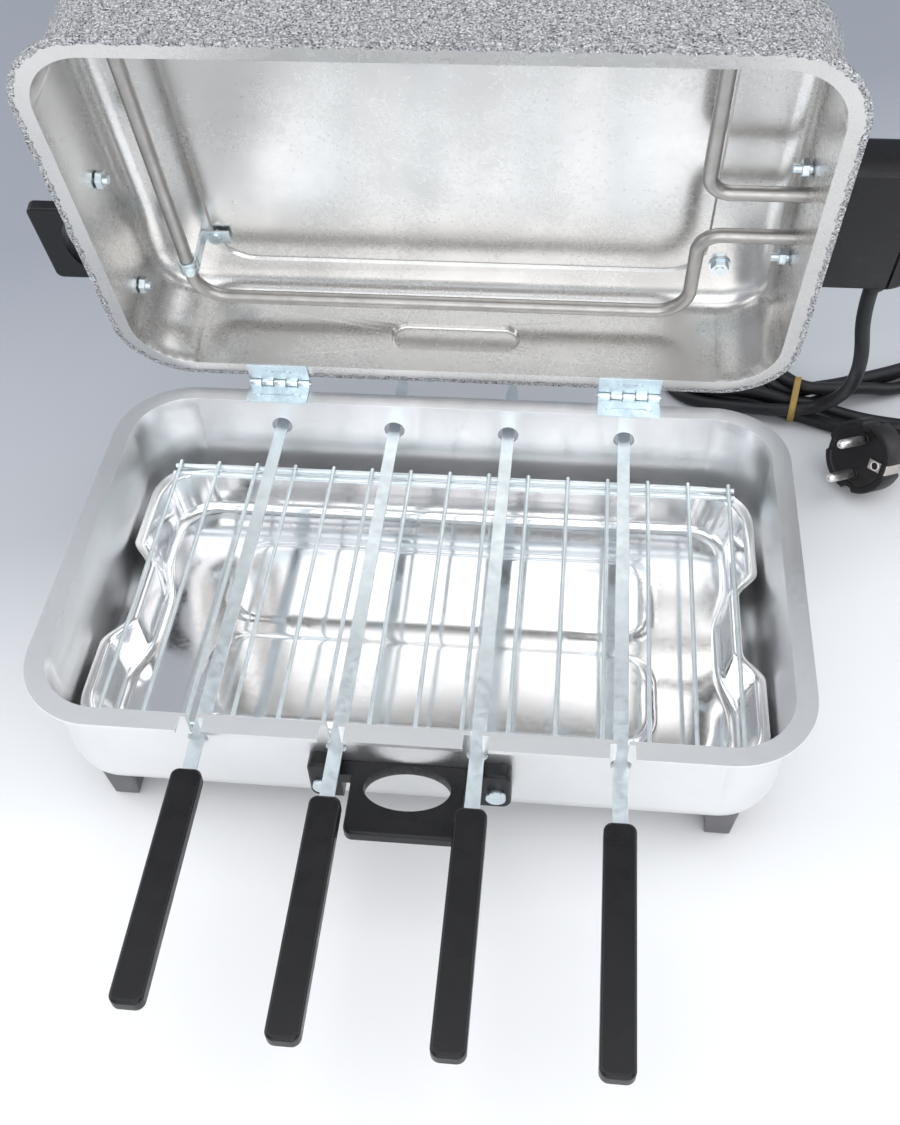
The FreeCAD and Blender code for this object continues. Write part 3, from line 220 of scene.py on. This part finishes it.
def moulded(name, color, rough, grain=900, relief=0.03, **sockets):
    """Moulded plastic or rubber: fine mould grain, uneven gloss and a little dust."""
    made = Shader(name, color, 0.0, rough, **sockets)
    cloud = made.noise(45, 3, 0.6)
    tone = made.blend(made.spread(cloud, 0.35, 0.7), tuple(c * 0.8 for c in color),
                      tuple(min(1, c * 1.25) for c in color))
    dust = made.spread(made.noise(1300, 2, 0.5), 0.68, 0.76, 0, 0.35)
    made.into("Base Color", made.blend(dust, tone, tuple(c * 1.6 + 0.012 for c in color)))
    made.into("Roughness", made.spread(made.noise(120, 3, 0.6), 0.3, 0.7, rough - 0.06,
                                       rough + 0.1))
    made.bump(made.noise(grain, 3, 0.6), 0.4, relief)
    return made


pan_metal = bare_aluminium("pan_metal", (0.90, 0.905, 0.91), 0.36, 0.8, 0.90)
lid_metal = bare_aluminium("lid_metal", (0.78, 0.77, 0.755), 0.27, 1.5, 0.84)
tray_metal = bare_aluminium("tray_metal", (0.94, 0.94, 0.95), 0.12, 0.5, 0.95)
flange_metal = bare_aluminium("flange_metal", (0.82, 0.83, 0.835), 0.42, 0.3, 0.9)
hammertone = hammer_paint("hammertone")
zinc_plate = zinc("zinc_plate")
skewer_zinc = zinc("skewer_zinc", (0.83, 0.91, 0.94), 0.36)
wire_zinc = zinc("wire_zinc", (0.86, 0.94, 0.96), 0.38)
sheath = zinc("sheath", (0.50, 0.48, 0.46), 0.36)
black_gloss = moulded("black_gloss", (0.006, 0.0058, 0.007), 0.3, 600, 0.02,
                      Specular_IOR_Level=0.35)
foot_grey = moulded("foot_grey", (0.12, 0.118, 0.125), 0.5, 500, 0.05)
plug_black = moulded("plug_black", (0.006, 0.0054, 0.006), 0.42, 1100, 0.05,
                     Specular_IOR_Level=0.4)
cord_black = moulded("cord_black", (0.008, 0.0082, 0.0105), 0.45, 1500, 0.03,
                     Specular_IOR_Level=0.4)
tie_ochre = moulded("tie_ochre", (0.34, 0.225, 0.05), 0.5, 1400, 0.05)
earth_metal = zinc("earth_metal", (0.62, 0.57, 0.53), 0.36)
pin_nickel = zinc("pin_nickel", (0.93, 0.90, 0.88), 0.34)
block_white = moulded("block_white", (0.62, 0.60, 0.54), 0.4, 500, 0.03)

SOFT_NODES = ["front_handle", "lid_side_handle", "foot_front_left", "foot_front_right",
              "foot_rear_left", "foot_rear_right"]
SOFT_NODES += [f"skewer_handle_{number}" for number in range(1, 5)]

NODE_LOOKS = {
    "base_pan": pan_metal, "lid_shell": lid_metal, "drip_tray": tray_metal,
    "foot_": foot_grey, "foot_screws": zinc_plate,
    "front_handle": black_gloss, "front_handle_screws": zinc_plate,
    "front_handle_nuts": zinc_plate,
    "lid_side_handle": black_gloss, "lid_side_handle_screws": zinc_plate,
    "lid_side_handle_nuts": zinc_plate,
    "terminal_box": black_gloss, "terminal_box_screws": zinc_plate,
    "terminal_box_nuts": zinc_plate, "terminal_block": block_white,
    "hinge_": zinc_plate, "earth_stud": zinc_plate,
    "skewer_blade_": skewer_zinc, "skewer_handle_": black_gloss, "rack_": wire_zinc,
    "heating_element": sheath, "element_": zinc_plate,
    "inner_lead": cord_black, "cord_": cord_black, "cord_tie": tie_ochre,
    "plug_": pin_nickel, "plug_body": plug_black,
}

# Wires and leads are round already and get no soft edges.
ROUND_NODES = ("rack_", "cord_", "heating_element")
WELD_DISTANCE = 0.00001
SOFT_EDGE = 0.7
CRISP_EDGE = 0.3


def look_of(name):
    """The look whose key is the longest that the node's name starts with."""
    keys = [key for key in NODE_LOOKS if name.startswith(key)]
    return NODE_LOOKS[max(keys, key=len)]


for node_name, node_object in nodes.items():
    node_object.data.materials.clear()
    node_object.data.materials.append(look_of(node_name).material)
    if not node_name.startswith(ROUND_NODES):
        weld = node_object.modifiers.new("weld", "WELD")
        weld.merge_threshold = WELD_DISTANCE
        soften = node_object.modifiers.new("soften", "BEVEL")
        soften.width = (SOFT_EDGE if node_name in SOFT_NODES else CRISP_EDGE) * MM
        soften.segments = 2
        soften.limit_method = "ANGLE"
        soften.angle_limit = math.radians(40)
        soften.harden_normals = True


def repaint(node_object, frame_matrix, look, wanted):
    """Gives the look to the faces that wanted picks by their centre and normal."""
    data = node_object.data
    data.materials.append(look.material)
    back = frame_matrix.inverted()
    for face in data.polygons:
        centre = back @ face.center
        normal = (back.to_3x3() @ face.normal).normalized()
        face.material_index = int(wanted(centre, normal))


# The rim that lid and pan share, in the lid's coordinates.
RIM_X = 160
RIM_NEAR = -4
RIM_FAR = -206
RIM_CORNER = 35

PAN_FLANGE_LEVEL = 75.7
LID_FLANGE_LEVEL = 2.2
LID_EDGE_LEVEL = 3.6
LID_FLOOR_LEVEL = 52
LID_MIDDLE = Vector((0, -105, 22))


def on_pan_flange(centre, normal):
    return centre.z > PAN_FLANGE_LEVEL and normal.z > 0.9


def is_painted(centre, normal):
    """True outside the lid and on the flange's edge, False in its hollow and nearly
    everywhere on the flange's two faces."""
    flange = centre.z < LID_FLANGE_LEVEL and normal.z < -0.9
    inward = normal.dot(LID_MIDDLE - centre) > 0 and centre.z < LID_FLOOR_LEVEL
    at_edge = abs(centre.x) > RIM_X - 1 or not RIM_FAR < centre.y + 0.9 < RIM_NEAR - 0.6
    return not flange and (not inward or (at_edge and centre.z < LID_EDGE_LEVEL))


repaint(nodes["base_pan"], PAN_FRAME, flange_metal, on_pan_flange)
repaint(nodes["lid_shell"], LID_FRAME, hammertone, is_painted)


# ---------------------------------------------------------------- mains lead

LEAD_RADIUS = 3.5
PLUG_LENGTH = 36
STRAIGHT_TAIL = 9


def lid_point(x, y, z):
    return PIN + SWING.to_3x3() @ Vector((x, y, z))


EXIT = lid_point(190, -54.5, 29.5)
BELOW_EXIT = lid_point(190, -32.5, 29.5)
PLUG_FACE = Vector((206.3, 127.4, 23.5))
PLUG_TURN = (Matrix.Rotation(math.radians(219), 3, "Z")
             @ Matrix.Rotation(math.radians(-20), 3, "Y"))
PLUG_REAR = PLUG_FACE + PLUG_TURN @ Vector((-PLUG_LENGTH, 0, 0))
BEHIND_PLUG = PLUG_FACE + PLUG_TURN @ Vector((-PLUG_LENGTH - STRAIGHT_TAIL, 0, 0))

# The drop from the terminal box, the hank's loops left and right of its band, and the tail.
LEAD_ROUTE = [
    EXIT, BELOW_EXIT, (195.5, 125, 90), (198.5, 141, 60), (199.5, 160.5, 36.5),
    (197.5, 172, 21.5), (189.5, 177.6, 11.2),
    (172, 177.2, 9.6), (154, 185, 4.2), (138, 187.2, 3.5), (120.5, 192, 3.5),
    (110, 208, 3.5), (113, 230, 3.5), (131, 246, 3.5), (150, 249, 3.5), (166, 239, 4.2),
    (172, 218, 9.6), (173.5, 199.5, 17), (185.5, 187.6, 17.4),
    (202, 190, 15.6), (222, 199, 9.9), (238, 204, 4.6), (254, 213.5, 3.5),
    (273, 213, 3.5), (285, 198, 3.5), (278.5, 180, 3.5), (261, 173, 3.5),
    (243, 175.5, 3.5), (223, 178.5, 3.5), (206, 183.8, 3.8), (192, 185.6, 8.6),
    (180, 184.4, 10.1), (168, 189, 10.6), (153, 193.7, 10.5), (136, 191, 10),
    (121.5, 199.5, 9.8), (115.5, 218, 9.7), (125, 237, 9.7), (143, 242, 9.7),
    (157.5, 232.5, 9.7), (164, 214, 9.8), (171, 198, 10.4), (181, 191.4, 10.4),
    (192, 195.5, 11.2), (207, 201, 9.9), (222, 207, 10.2), (237, 213, 10.2),
    (252, 221, 9.8), (273, 222, 9.8), (290, 207.5, 9.8), (289, 184.5, 9.8),
    (272, 170, 9.8), (252, 169.5, 10.6), (232, 168.5, 6.8), (214, 169, 3.5),
    (199, 174.5, 3.5), (186, 180, 3.5), (172, 184.8, 3.5), (156, 193, 3.5),
    (139, 194.4, 3.5), (124.5, 200, 3.5), (118.5, 218, 3.5), (127, 236, 3.5),
    (146, 238, 3.5), (158, 224.5, 3.5), (165, 206, 3.5), (171.5, 194.5, 3.5),
    (181, 188.9, 3.5), (193, 190.6, 3.5), (206, 201.5, 3.5), (220, 211.2, 3.5),
    (236, 215.7, 3.5), (252, 227, 3.5), (274, 230.5, 3.5), (294.5, 217, 3.5),
    (299, 192, 3.5), (287, 168.5, 3.5), (267, 163, 3.7), (253, 164.5, 4.4),
    BEHIND_PLUG, PLUG_REAR,
]


def link(name, data):
    made = bpy.data.objects.new(name, data)
    scene.collection.objects.link(made)
    return made


def lead_points(route):
    """The line of an open NURBS spline of order 3 with the route as its control points."""
    data = bpy.data.curves.new("lead_route", "CURVE")
    data.dimensions = "3D"
    spline = data.splines.new("NURBS")
    spline.points.add(len(route) - 1)
    for control, point in zip(spline.points, route):
        control.co = (*place(*point), 1)
    spline.order_u = 3
    spline.use_endpoint_u = True
    spline.resolution_u = 8
    probe = link("lead_route", data)
    graph = bpy.context.evaluated_depsgraph_get()
    mesh = bpy.data.meshes.new_from_object(probe.evaluated_get(graph))
    points = [vertex.co.copy() for vertex in mesh.vertices]
    bpy.data.objects.remove(probe)
    bpy.data.meshes.remove(mesh)
    bpy.data.curves.remove(data)
    return points


lead_line = lead_points(LEAD_ROUTE)


def circle_angles(sides):
    return [math.tau * k / sides for k in range(sides)]


def mesh_piece(name, sheet, look, smooth=True):
    """Turns a finished bmesh into a linked object with one look."""
    bmesh.ops.recalc_face_normals(sheet, faces=sheet.faces)
    data = bpy.data.meshes.new(name)
    sheet.to_mesh(data)
    sheet.free()
    data.materials.append(look.material)
    data.polygons.foreach_set("use_smooth", [smooth] * len(data.polygons))
    return link(name, data)


def add_rings(sheet, rings, cap_start=True, cap_end=True, loop=False):
    """Skins equal closed rings of points in order, and closes the ends or joins them."""
    made = [[sheet.verts.new(point) for point in ring] for ring in rings]
    pairs = list(zip(made, made[1:])) + ([(made[-1], made[0])] if loop else [])
    for first, second in pairs:
        for k in range(len(first)):
            m = (k + 1) % len(first)
            sheet.faces.new((first[k], first[m], second[m], second[k]))
    if cap_start and not loop:
        sheet.faces.new(made[0][::-1])
    if cap_end and not loop:
        sheet.faces.new(made[-1])


def tube_rings(line, radius, sides=20):
    """Rings round a line of points, carried along without twist."""
    tangent = (line[1] - line[0]).normalized()
    side = tangent.orthogonal().normalized()
    rings = []
    for index, point in enumerate(line):
        ahead = line[min(index + 1, len(line) - 1)] - line[max(index - 1, 0)]
        turned = tangent.rotation_difference(ahead.normalized())
        side = (turned @ side).normalized()
        tangent = ahead.normalized()
        other = tangent.cross(side)
        rings.append([point + (side * math.cos(a) + other * math.sin(a)) * radius
                      for a in circle_angles(sides)])
    return rings


lead_sheet = bmesh.new()
add_rings(lead_sheet, tube_rings(lead_line, LEAD_RADIUS * MM))
lead = mesh_piece("mains_lead", lead_sheet, cord_black)
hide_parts("cord_drop", "cord_hank", "cord_tail")
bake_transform(lead)


# ---------------------------------------------------------------- tie round the hank

def hull(points):
    """The convex outline of flat points, anticlockwise."""
    points = sorted(points)

    def half(side):
        chain = []
        for x, y in side:
            while len(chain) > 1:
                (ax, ay), (bx, by) = chain[-2:]
                if (bx - ax) * (y - ay) - (by - ay) * (x - ax) > 0:
                    break
                chain.pop()
            chain.append((x, y))
        return chain[:-1]

    return half(points) + half(points[::-1])


def resample(ring, count):
    """The same closed outline with count evenly spread points."""
    closed = ring + ring[:1]
    reach = [0.0]
    for a, b in zip(closed, closed[1:]):
        reach.append(reach[-1] + (b - a).length)
    made = []
    step = 0
    for k in range(count):
        want = reach[-1] * k / count
        while reach[step + 1] < want:
            step += 1
        share = (want - reach[step]) / (reach[step + 1] - reach[step])
        made.append(closed[step].lerp(closed[step + 1], share))
    return made


# Y and Z of the six runs of the lead inside the band.
RUNS_AT_TIE = [(177.4, 10), (181.6, 3.9), (188.9, 3.9), (184.4, 10.1), (191.4, 10.4),
               (190.2, 17.3)]
# The band's cross section: how far off the lead, and X.
TIE_PROFILE = [(0.1, 179.6), (0.7, 179.2), (1.0, 179.9), (1.0, 182.2), (0.7, 182.9),
               (0.1, 182.5)]
TIE_MIDDLE_Y = 184
TIE_SLANT = 0.20
OFF_TABLE = 0.15


def tie_ring(offset, x):
    """The outline round all runs, offset from them, in the slanted plane of the band."""
    radius = LEAD_RADIUS + offset
    ring = hull([(y + radius * math.cos(a), z + radius * math.sin(a))
                 for y, z in RUNS_AT_TIE for a in circle_angles(40)])
    even = resample([Vector((0, y, z)) for y, z in ring], 120)
    return [place(x + (p.y - TIE_MIDDLE_Y) * TIE_SLANT, p.y, max(p.z, OFF_TABLE))
            for p in even]


tie_sheet = bmesh.new()
add_rings(tie_sheet, [tie_ring(*row) for row in TIE_PROFILE], loop=True)
tie = mesh_piece("hank_tie", tie_sheet, tie_ochre)
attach(tie, "base")
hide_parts("cord_tie")


# ---------------------------------------------------------------- plug

PLUG_ROLL = math.radians(100)
PIN_SPREAD = 9.5
PIN_CENTRES = [Vector((0, PIN_SPREAD * side * math.cos(PLUG_ROLL),
                       PIN_SPREAD * side * math.sin(PLUG_ROLL))) for side in (-1, 1)]
NOTCH_ANGLES = (PLUG_ROLL, PLUG_ROLL + math.pi)
NOTCH_DEPTH = 2.2
NOTCH_HALF = 0.12
EARTH_ANGLES = (PLUG_ROLL + math.pi / 2, PLUG_ROLL - math.pi / 2)
EARTH_DEPTH = 1.5
EARTH_HALF = 0.16
GROOVE_FADE = 0.05


def plug_circle(centre, ahead, radius, sides):
    """A circle across the plug's axis, ahead of its face."""
    return [place(*(PLUG_FACE + PLUG_TURN @ (centre + Vector(
        (ahead, radius * math.cos(a), radius * math.sin(a)))))) for a in circle_angles(sides)]


def plug_point(ahead, radius, angle):
    flat = Vector((ahead, radius * math.cos(angle), radius * math.sin(angle)))
    return place(*(PLUG_FACE + PLUG_TURN @ flat))


def near(angle, targets, half_width):
    """1 within half_width of a target angle, fading to 0 beyond it."""
    gap = min(abs((angle - t + math.pi) % math.tau - math.pi) for t in targets)
    return max(0.0, min(1.0, (half_width + GROOVE_FADE - gap) / GROOVE_FADE))


def plug_ring(ahead, radius, grooved, sides=144):
    """A ring of the shell, cut by the side notches and the grooves of the earth strips."""
    ring = []
    for angle in circle_angles(sides):
        cut = (NOTCH_DEPTH * near(angle, NOTCH_ANGLES, NOTCH_HALF)
               + EARTH_DEPTH * near(angle, EARTH_ANGLES, EARTH_HALF))
        ring.append(plug_point(ahead, radius - cut * grooved, angle))
    return ring


# Rows of a profile are the distance ahead of the face and the radius; the shell's third
# value is how much of the grooves' depth is cut.
PLUG_PROFILE = [(-0.9, 0.5, 0), (-0.9, 15.6, 0), (-0.5, 16.2, 0), (-0.1, 16.4, 1),
                (0, 16.9, 1), (0, 18.6, 1), (-0.3, 19.2, 1), (-1.0, 19.5, 1),
                (-13.0, 19.5, 1), (-13.8, 19.1, 1), (-14, 18.2, 0.7), (-14.3, 16.4, 0.2),
                (-16, 15.6, 0), (-20, 14.4, 0), (-25, 12.4, 0), (-30, 9.8, 0),
                (-33, 7.8, 0), (-34.2, 7.2, 0), (-34.8, 6.2, 0), (-35.6, 6.0, 0),
                (-36, 5.4, 0), (-36, 3.5, 0)]
PRONG_PROFILE = [(-2, 2.4), (16.6, 2.4), (17.4, 2.3), (18.2, 1.95), (18.7, 1.4),
                 (18.95, 0.7)]
COLLAR_PROFILE = [(-1.5, 3.6), (-0.5, 3.6), (-0.3, 3.3), (-0.3, 2.4), (-1.5, 2.4)]
STRIP_PROFILE = [(-0.35, 17.4), (-0.9, 18.3), (-3.0, 18.5), (-12.6, 18.4), (-13.2, 17.6)]
STRIP_HALF = 2.7
STRIP_THICK = 0.5
STRIP_REACHES = (15.6, 8.0)
SOCKET_PROFILE = [(-0.3, 2.5), (-0.05, 2.4), (-0.05, 1.9), (-1.2, 1.8)]
SOCKET_OFFSET = 11.5
SOCKET_CENTRE = Vector((0, SOCKET_OFFSET * math.cos(EARTH_ANGLES[1]),
                        SOCKET_OFFSET * math.sin(EARTH_ANGLES[1])))
# A black disc that fills the earth socket's sleeve: painted shade standing in for the depth of
# the hole.
SHADE_DISC_PROFILE = [(-0.6, 1.95), (-0.25, 1.95)]


def turned_piece(name, look, centres, profile, sides, **closing):
    """The profile turned round each of the centres."""
    sheet = bmesh.new()
    for centre in centres:
        add_rings(sheet, [plug_circle(centre, ahead, radius, sides)
                          for ahead, radius in profile], **closing)
    return mesh_piece(name, sheet, look)


plug_sheet = bmesh.new()
add_rings(plug_sheet, [plug_ring(*row) for row in PLUG_PROFILE])
plug_shell = mesh_piece("plug_shell", plug_sheet, plug_black)
pins = turned_piece("plug_prongs", pin_nickel, PIN_CENTRES, PRONG_PROFILE, 24)
collars = turned_piece("plug_collars", plug_black, PIN_CENTRES, COLLAR_PROFILE, 24, loop=True)

# Each strip starts on the face, at its own distance from the middle, and runs down the side.
earth_sheet = bmesh.new()
for angle, reach in zip(EARTH_ANGLES, STRIP_REACHES):
    rings = []
    for ahead, radius in [(-1.1, reach), (-0.4, reach + 0.3)] + STRIP_PROFILE:
        half = STRIP_HALF / radius
        rings.append([plug_point(ahead - sunk, radius - sunk, angle + across)
                      for across, sunk in ((-half, 0), (half, 0), (half, STRIP_THICK),
                                           (-half, STRIP_THICK))])
    add_rings(earth_sheet, rings)
earth = mesh_piece("earth_strips", earth_sheet, earth_metal, smooth=False)
earth_socket = turned_piece("earth_socket", pin_nickel, [SOCKET_CENTRE], SOCKET_PROFILE, 28,
                            cap_start=False, cap_end=False)
# The earth socket's hole is drawn as a black disc of painted shade, not as a hole.
socket_shade_disc = turned_piece("earth_socket_shade_disc", plug_black, [SOCKET_CENTRE], SHADE_DISC_PROFILE, 28)

plug_pieces = [plug_shell, pins, collars, earth, earth_socket, socket_shade_disc]
for piece in plug_pieces:
    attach(piece, "base")
for piece, node_name, slot_name in ((plug_shell, "plug_body", "plug_plastic"),
                                    (pins, "plug_pins", "plug_pin_metal"),
                                    (earth, "plug_earth_contacts", "plug_pin_metal")):
    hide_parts(node_name)


# ---------------------------------------------------------------- terminal box

def rounded_outline(x0, x1, y0, y1, radii, steps=10):
    """A rectangle's outline with its own radius at each corner, anticlockwise from x1 y0."""
    corners = ((x1, y0, -1, 1, -90), (x1, y1, -1, -1, 0), (x0, y1, 1, -1, 90),
               (x0, y0, 1, 1, 180))
    points = []
    for (x, y, sx, sy, start), radius in zip(corners, radii):
        for k in range(steps + 1):
            a = math.radians(start + 90 * k / steps)
            points.append((x + sx * radius + radius * math.cos(a),
                           y + sy * radius + radius * math.sin(a)))
    return points


def in_lid(x, y, z):
    return LID_FRAME @ Vector((x, y, z))


BOX_NEAR = -58
BOX_FAR = -128
BOX_WALL_X = 152.9
HOUSING_END_X = 200.6
COVER_START_X = 191.5
COVER_END_X = 202.8
# Height above the rim's plane and inset of each layer.
BOX_LAYERS = [(21.6, 2.2), (21.8, 1.2), (22.5, 0.4), (23.7, 0), (40.6, 0), (42.0, 0.4),
              (43.0, 1.2), (43.3, 2.4)]
COVER_LAYERS = [(21.5, 2.6), (21.7, 1.4), (22.3, 0.4), (23.6, 0), (40.8, 0), (42.3, 0.4),
                (43.2, 1.4), (43.45, 2.6)]


def lid_block(name, x0, x1, radii, layers, look):
    """A rounded block on the lid: layers give the inset at each depth."""
    sheet = bmesh.new()
    rings = []
    for z, inset in layers:
        outline = rounded_outline(x0 + inset, x1 - inset, BOX_FAR + inset, BOX_NEAR - inset,
                                  [max(r - inset, 0.3) for r in radii])
        rings.append([in_lid(x, y, z) for x, y in outline])
    add_rings(sheet, rings)
    return mesh_piece(name, sheet, look)


housing = lid_block("terminal_housing", BOX_WALL_X, HOUSING_END_X, (7, 7, 0.6, 0.6),
                    BOX_LAYERS, black_gloss)
cover = lid_block("terminal_cover", COVER_START_X, COVER_END_X, (9.5, 9.5, 0.5, 0.5),
                  COVER_LAYERS, black_gloss)
for piece, node_name in ((housing, "terminal_box"), (cover, "terminal_box_cover")):
    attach(piece, "lid")
    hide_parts(node_name)


# ---------------------------------------------------------------- drip tray

TRAY_X = 147.5
TRAY_Y = 84.0
TRAY_CORNER = 24.0
WAIST = 9.0
WAIST_FLAT = 16.0
WAIST_RAMP = 15.0
WAIST_MIDDLE = -2.0
FLOOR_INSET = 13.2
FLOOR_STEPS = 44
FLOOR_STEP = 1.55
FLOOR_LEVEL = 19.0
SHEET_THICKNESS = 0.6
# Inset and height of the rim and the side walls.
TRAY_UPPER = [(0.15, 39.3), (0.0, 39.7), (0.3, 39.95), (2.6, 40), (3.8, 39.9), (4.6, 39.4),
              (5.1, 38.4), (8.9, 23.0), (9.8, 20.9), (11.2, 19.6), (FLOOR_INSET, 19.05)]
# X, Y and corner radius of the raised panels in the floor.
TRAY_PANELS = [(-100, 100, -56, -8, 14), (-100, 100, 2, 50, 14)]
PANEL_RISE = 0.8
SAG = 0.25


def smooth_step(value, low, high):
    t = max(0.0, min(1.0, (value - low) / (high - low)))
    return t * t * (3 - 2 * t)


def tray_outline(inset):
    """The waisted outline moved in by inset, as evenly numbered points."""
    corner = min(max(TRAY_CORNER - inset * 0.3, 12.0), TRAY_Y - inset - 0.3)
    soft = smooth_step(inset, 3, 14)
    waist = WAIST * (1 - 0.35 * soft)
    flat = WAIST_FLAT - 8 * soft
    ramp = WAIST_RAMP + 18 * soft
    outline = rounded_outline(-TRAY_X + inset, TRAY_X - inset, -TRAY_Y + inset,
                              TRAY_Y - inset, [corner] * 4, 24)
    made = []
    for p in resample([Vector((x, y, 0)) for x, y in outline], 640):
        pull = waist * (1 - smooth_step(abs(p.y - WAIST_MIDDLE), flat, flat + ramp))
        pull *= smooth_step(abs(p.x), TRAY_X - inset - 16, TRAY_X - inset)
        made.append((p.x - math.copysign(pull, p.x), p.y))
    return made


def panel_distance(x, y, x0, x1, y0, y1, corner):
    """How far a point lies outside a rounded rectangle, negative inside."""
    dx = abs(x - (x0 + x1) / 2) - (x1 - x0) / 2 + corner
    dy = abs(y - (y0 + y1) / 2) - (y1 - y0) / 2 + corner
    return math.hypot(max(dx, 0), max(dy, 0)) + min(max(dx, dy), 0) - corner


def floor_relief(x, y):
    """Two long raised panels with soft edges, and a faint sag of the sheet."""
    lift = 0.0
    for panel in TRAY_PANELS:
        lift += PANEL_RISE * (1 - smooth_step(panel_distance(x, y, *panel), -2.5, 2.5))
    return lift + SAG * math.sin(x * 0.031 + 0.6) * math.cos(y * 0.05)


tray_sheet = bmesh.new()
rings = [[place(x, y, z) for x, y in tray_outline(inset)] for inset, z in TRAY_UPPER]
for step in range(1, FLOOR_STEPS + 1):
    inset = FLOOR_INSET + step * FLOOR_STEP
    settle = smooth_step(inset, FLOOR_INSET, 22)
    rings.append([place(x, y, FLOOR_LEVEL + settle * floor_relief(x, y))
                  for x, y in tray_outline(inset)])
add_rings(tray_sheet, rings, cap_start=False)
tray = mesh_piece("tray_pressing", tray_sheet, tray_metal)
thicken = tray.modifiers.new("thickness", "SOLIDIFY")
thicken.thickness = SHEET_THICKNESS * MM
thicken.offset = -1
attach(tray, "drip_tray")
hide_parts("drip_tray")


# ---------------------------------------------------------------- painted edge of the lid

PAINT_LEVEL = 1.4


def clamped(value, low, high):
    return max(low, min(high, value))


def rim_outline(inset, wander):
    """The lid flange's outline moved in by inset, its line wandering a little."""
    outline = rounded_outline(-RIM_X + inset, RIM_X - inset, RIM_FAR + inset,
                              RIM_NEAR - inset, [RIM_CORNER - inset] * 4, 40)
    made = []
    for k, p in enumerate(resample([Vector((x, y, 0)) for x, y in outline], 900)):
        centre = Vector((clamped(p.x, RIM_CORNER - RIM_X, RIM_X - RIM_CORNER),
                         clamped(p.y, RIM_FAR + RIM_CORNER, RIM_NEAR - RIM_CORNER), 0))
        pull = (centre - p).normalized()
        swing = (math.sin(k * 0.37) + math.sin(k * 0.83 + 1) + math.sin(k * 1.71 + 2)) / 3
        made.append(in_lid(*(p + pull * (1 + swing) * wander).xy, PAINT_LEVEL))
    return made


edge_sheet = bmesh.new()
add_rings(edge_sheet, [rim_outline(0.05, 0), rim_outline(1.6, 0.9)], cap_start=False,
          cap_end=False)
paint_edge = mesh_piece("lid_paint_edge", edge_sheet, hammertone)
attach(paint_edge, "lid")


# ---------------------------------------------------------------- floor and light

def area_light(name, where, aim, size, energy):
    data = bpy.data.lights.new(name, "AREA")
    data.shape = "RECTANGLE"
    data.size, data.size_y = size
    data.energy = energy
    lamp = link(name, data)
    lamp.location = where
    lamp.rotation_mode = "QUATERNION"
    lamp.rotation_quaternion = (Vector(aim) - Vector(where)).to_track_quat("-Z", "Y")


# Painted light and shade: the floor's colour darkens away from the camera, along a slanted
# direction, standing in for the lamps' light falling off towards the back.
FLOOR_HALF = 6
FLOOR_SLANT = -0.45
NEAR_PAINTED_LIGHT = (0.83, 0.835, 0.84)
MIDDLE_PAINTED_SHADE = (0.47, 0.49, 0.52)
FAR_PAINTED_SHADE = (0.31, 0.33, 0.37)

floor_mesh = bpy.data.meshes.new("floor")
floor_sheet = bmesh.new()
bmesh.ops.create_grid(floor_sheet, x_segments=2, y_segments=2, size=FLOOR_HALF)
floor_sheet.to_mesh(floor_mesh)
floor_sheet.free()
floor = link("floor", floor_mesh)
paper = Shader("floor_paper", (0.9, 0.9, 0.91), 0.0, 0.6)
split = paper.node("ShaderNodeSeparateXYZ", {0: paper.coords})
aside = paper.maths("MULTIPLY", split.outputs["X"], FLOOR_SLANT)
along = paper.maths("ADD", split.outputs["Y"], aside)
mottle = paper.noise(30, 3, 0.5)
# Painted light falloff: a lit tone near the camera blends through painted shade to a darker
# far tone.
front_painted_falloff = paper.blend(paper.spread(along, 0.0, 0.2), NEAR_PAINTED_LIGHT, MIDDLE_PAINTED_SHADE)
tone = paper.blend(paper.spread(along, 0.2, 0.5), front_painted_falloff, FAR_PAINTED_SHADE)
paper.into("Base Color", tone)
paper.into("Roughness", paper.spread(mottle, 0.3, 0.7, 0.5, 0.62))
floor.data.materials.append(paper.material)

world = bpy.data.worlds.new("studio")
scene.world = world
world.use_nodes = True
backdrop = world.node_tree.nodes["Background"]
backdrop.inputs["Color"].default_value = (0.74, 0.78, 0.86, 1)
backdrop.inputs["Strength"].default_value = 0.56

# Name, place, aim, width and height in metres, and power in watts.
LIGHTS = [
    ("top", (0.0, -0.35, 1.8), (0, 0.0, 0), (3.0, 2.0), 26),
    ("front", (0.35, -1.7, 0.75), (0, 0.0, 0.05), (2.4, 1.3), 18),
    ("left", (-1.7, 0.1, 0.9), (0, 0.05, 0.05), (1.6, 1.2), 13),
    ("right", (1.7, 0.3, 0.8), (0, 0.05, 0.05), (1.4, 1.2), 9),
]
for row in LIGHTS:
    area_light(*row)

scene.view_settings.view_transform = "Standard"
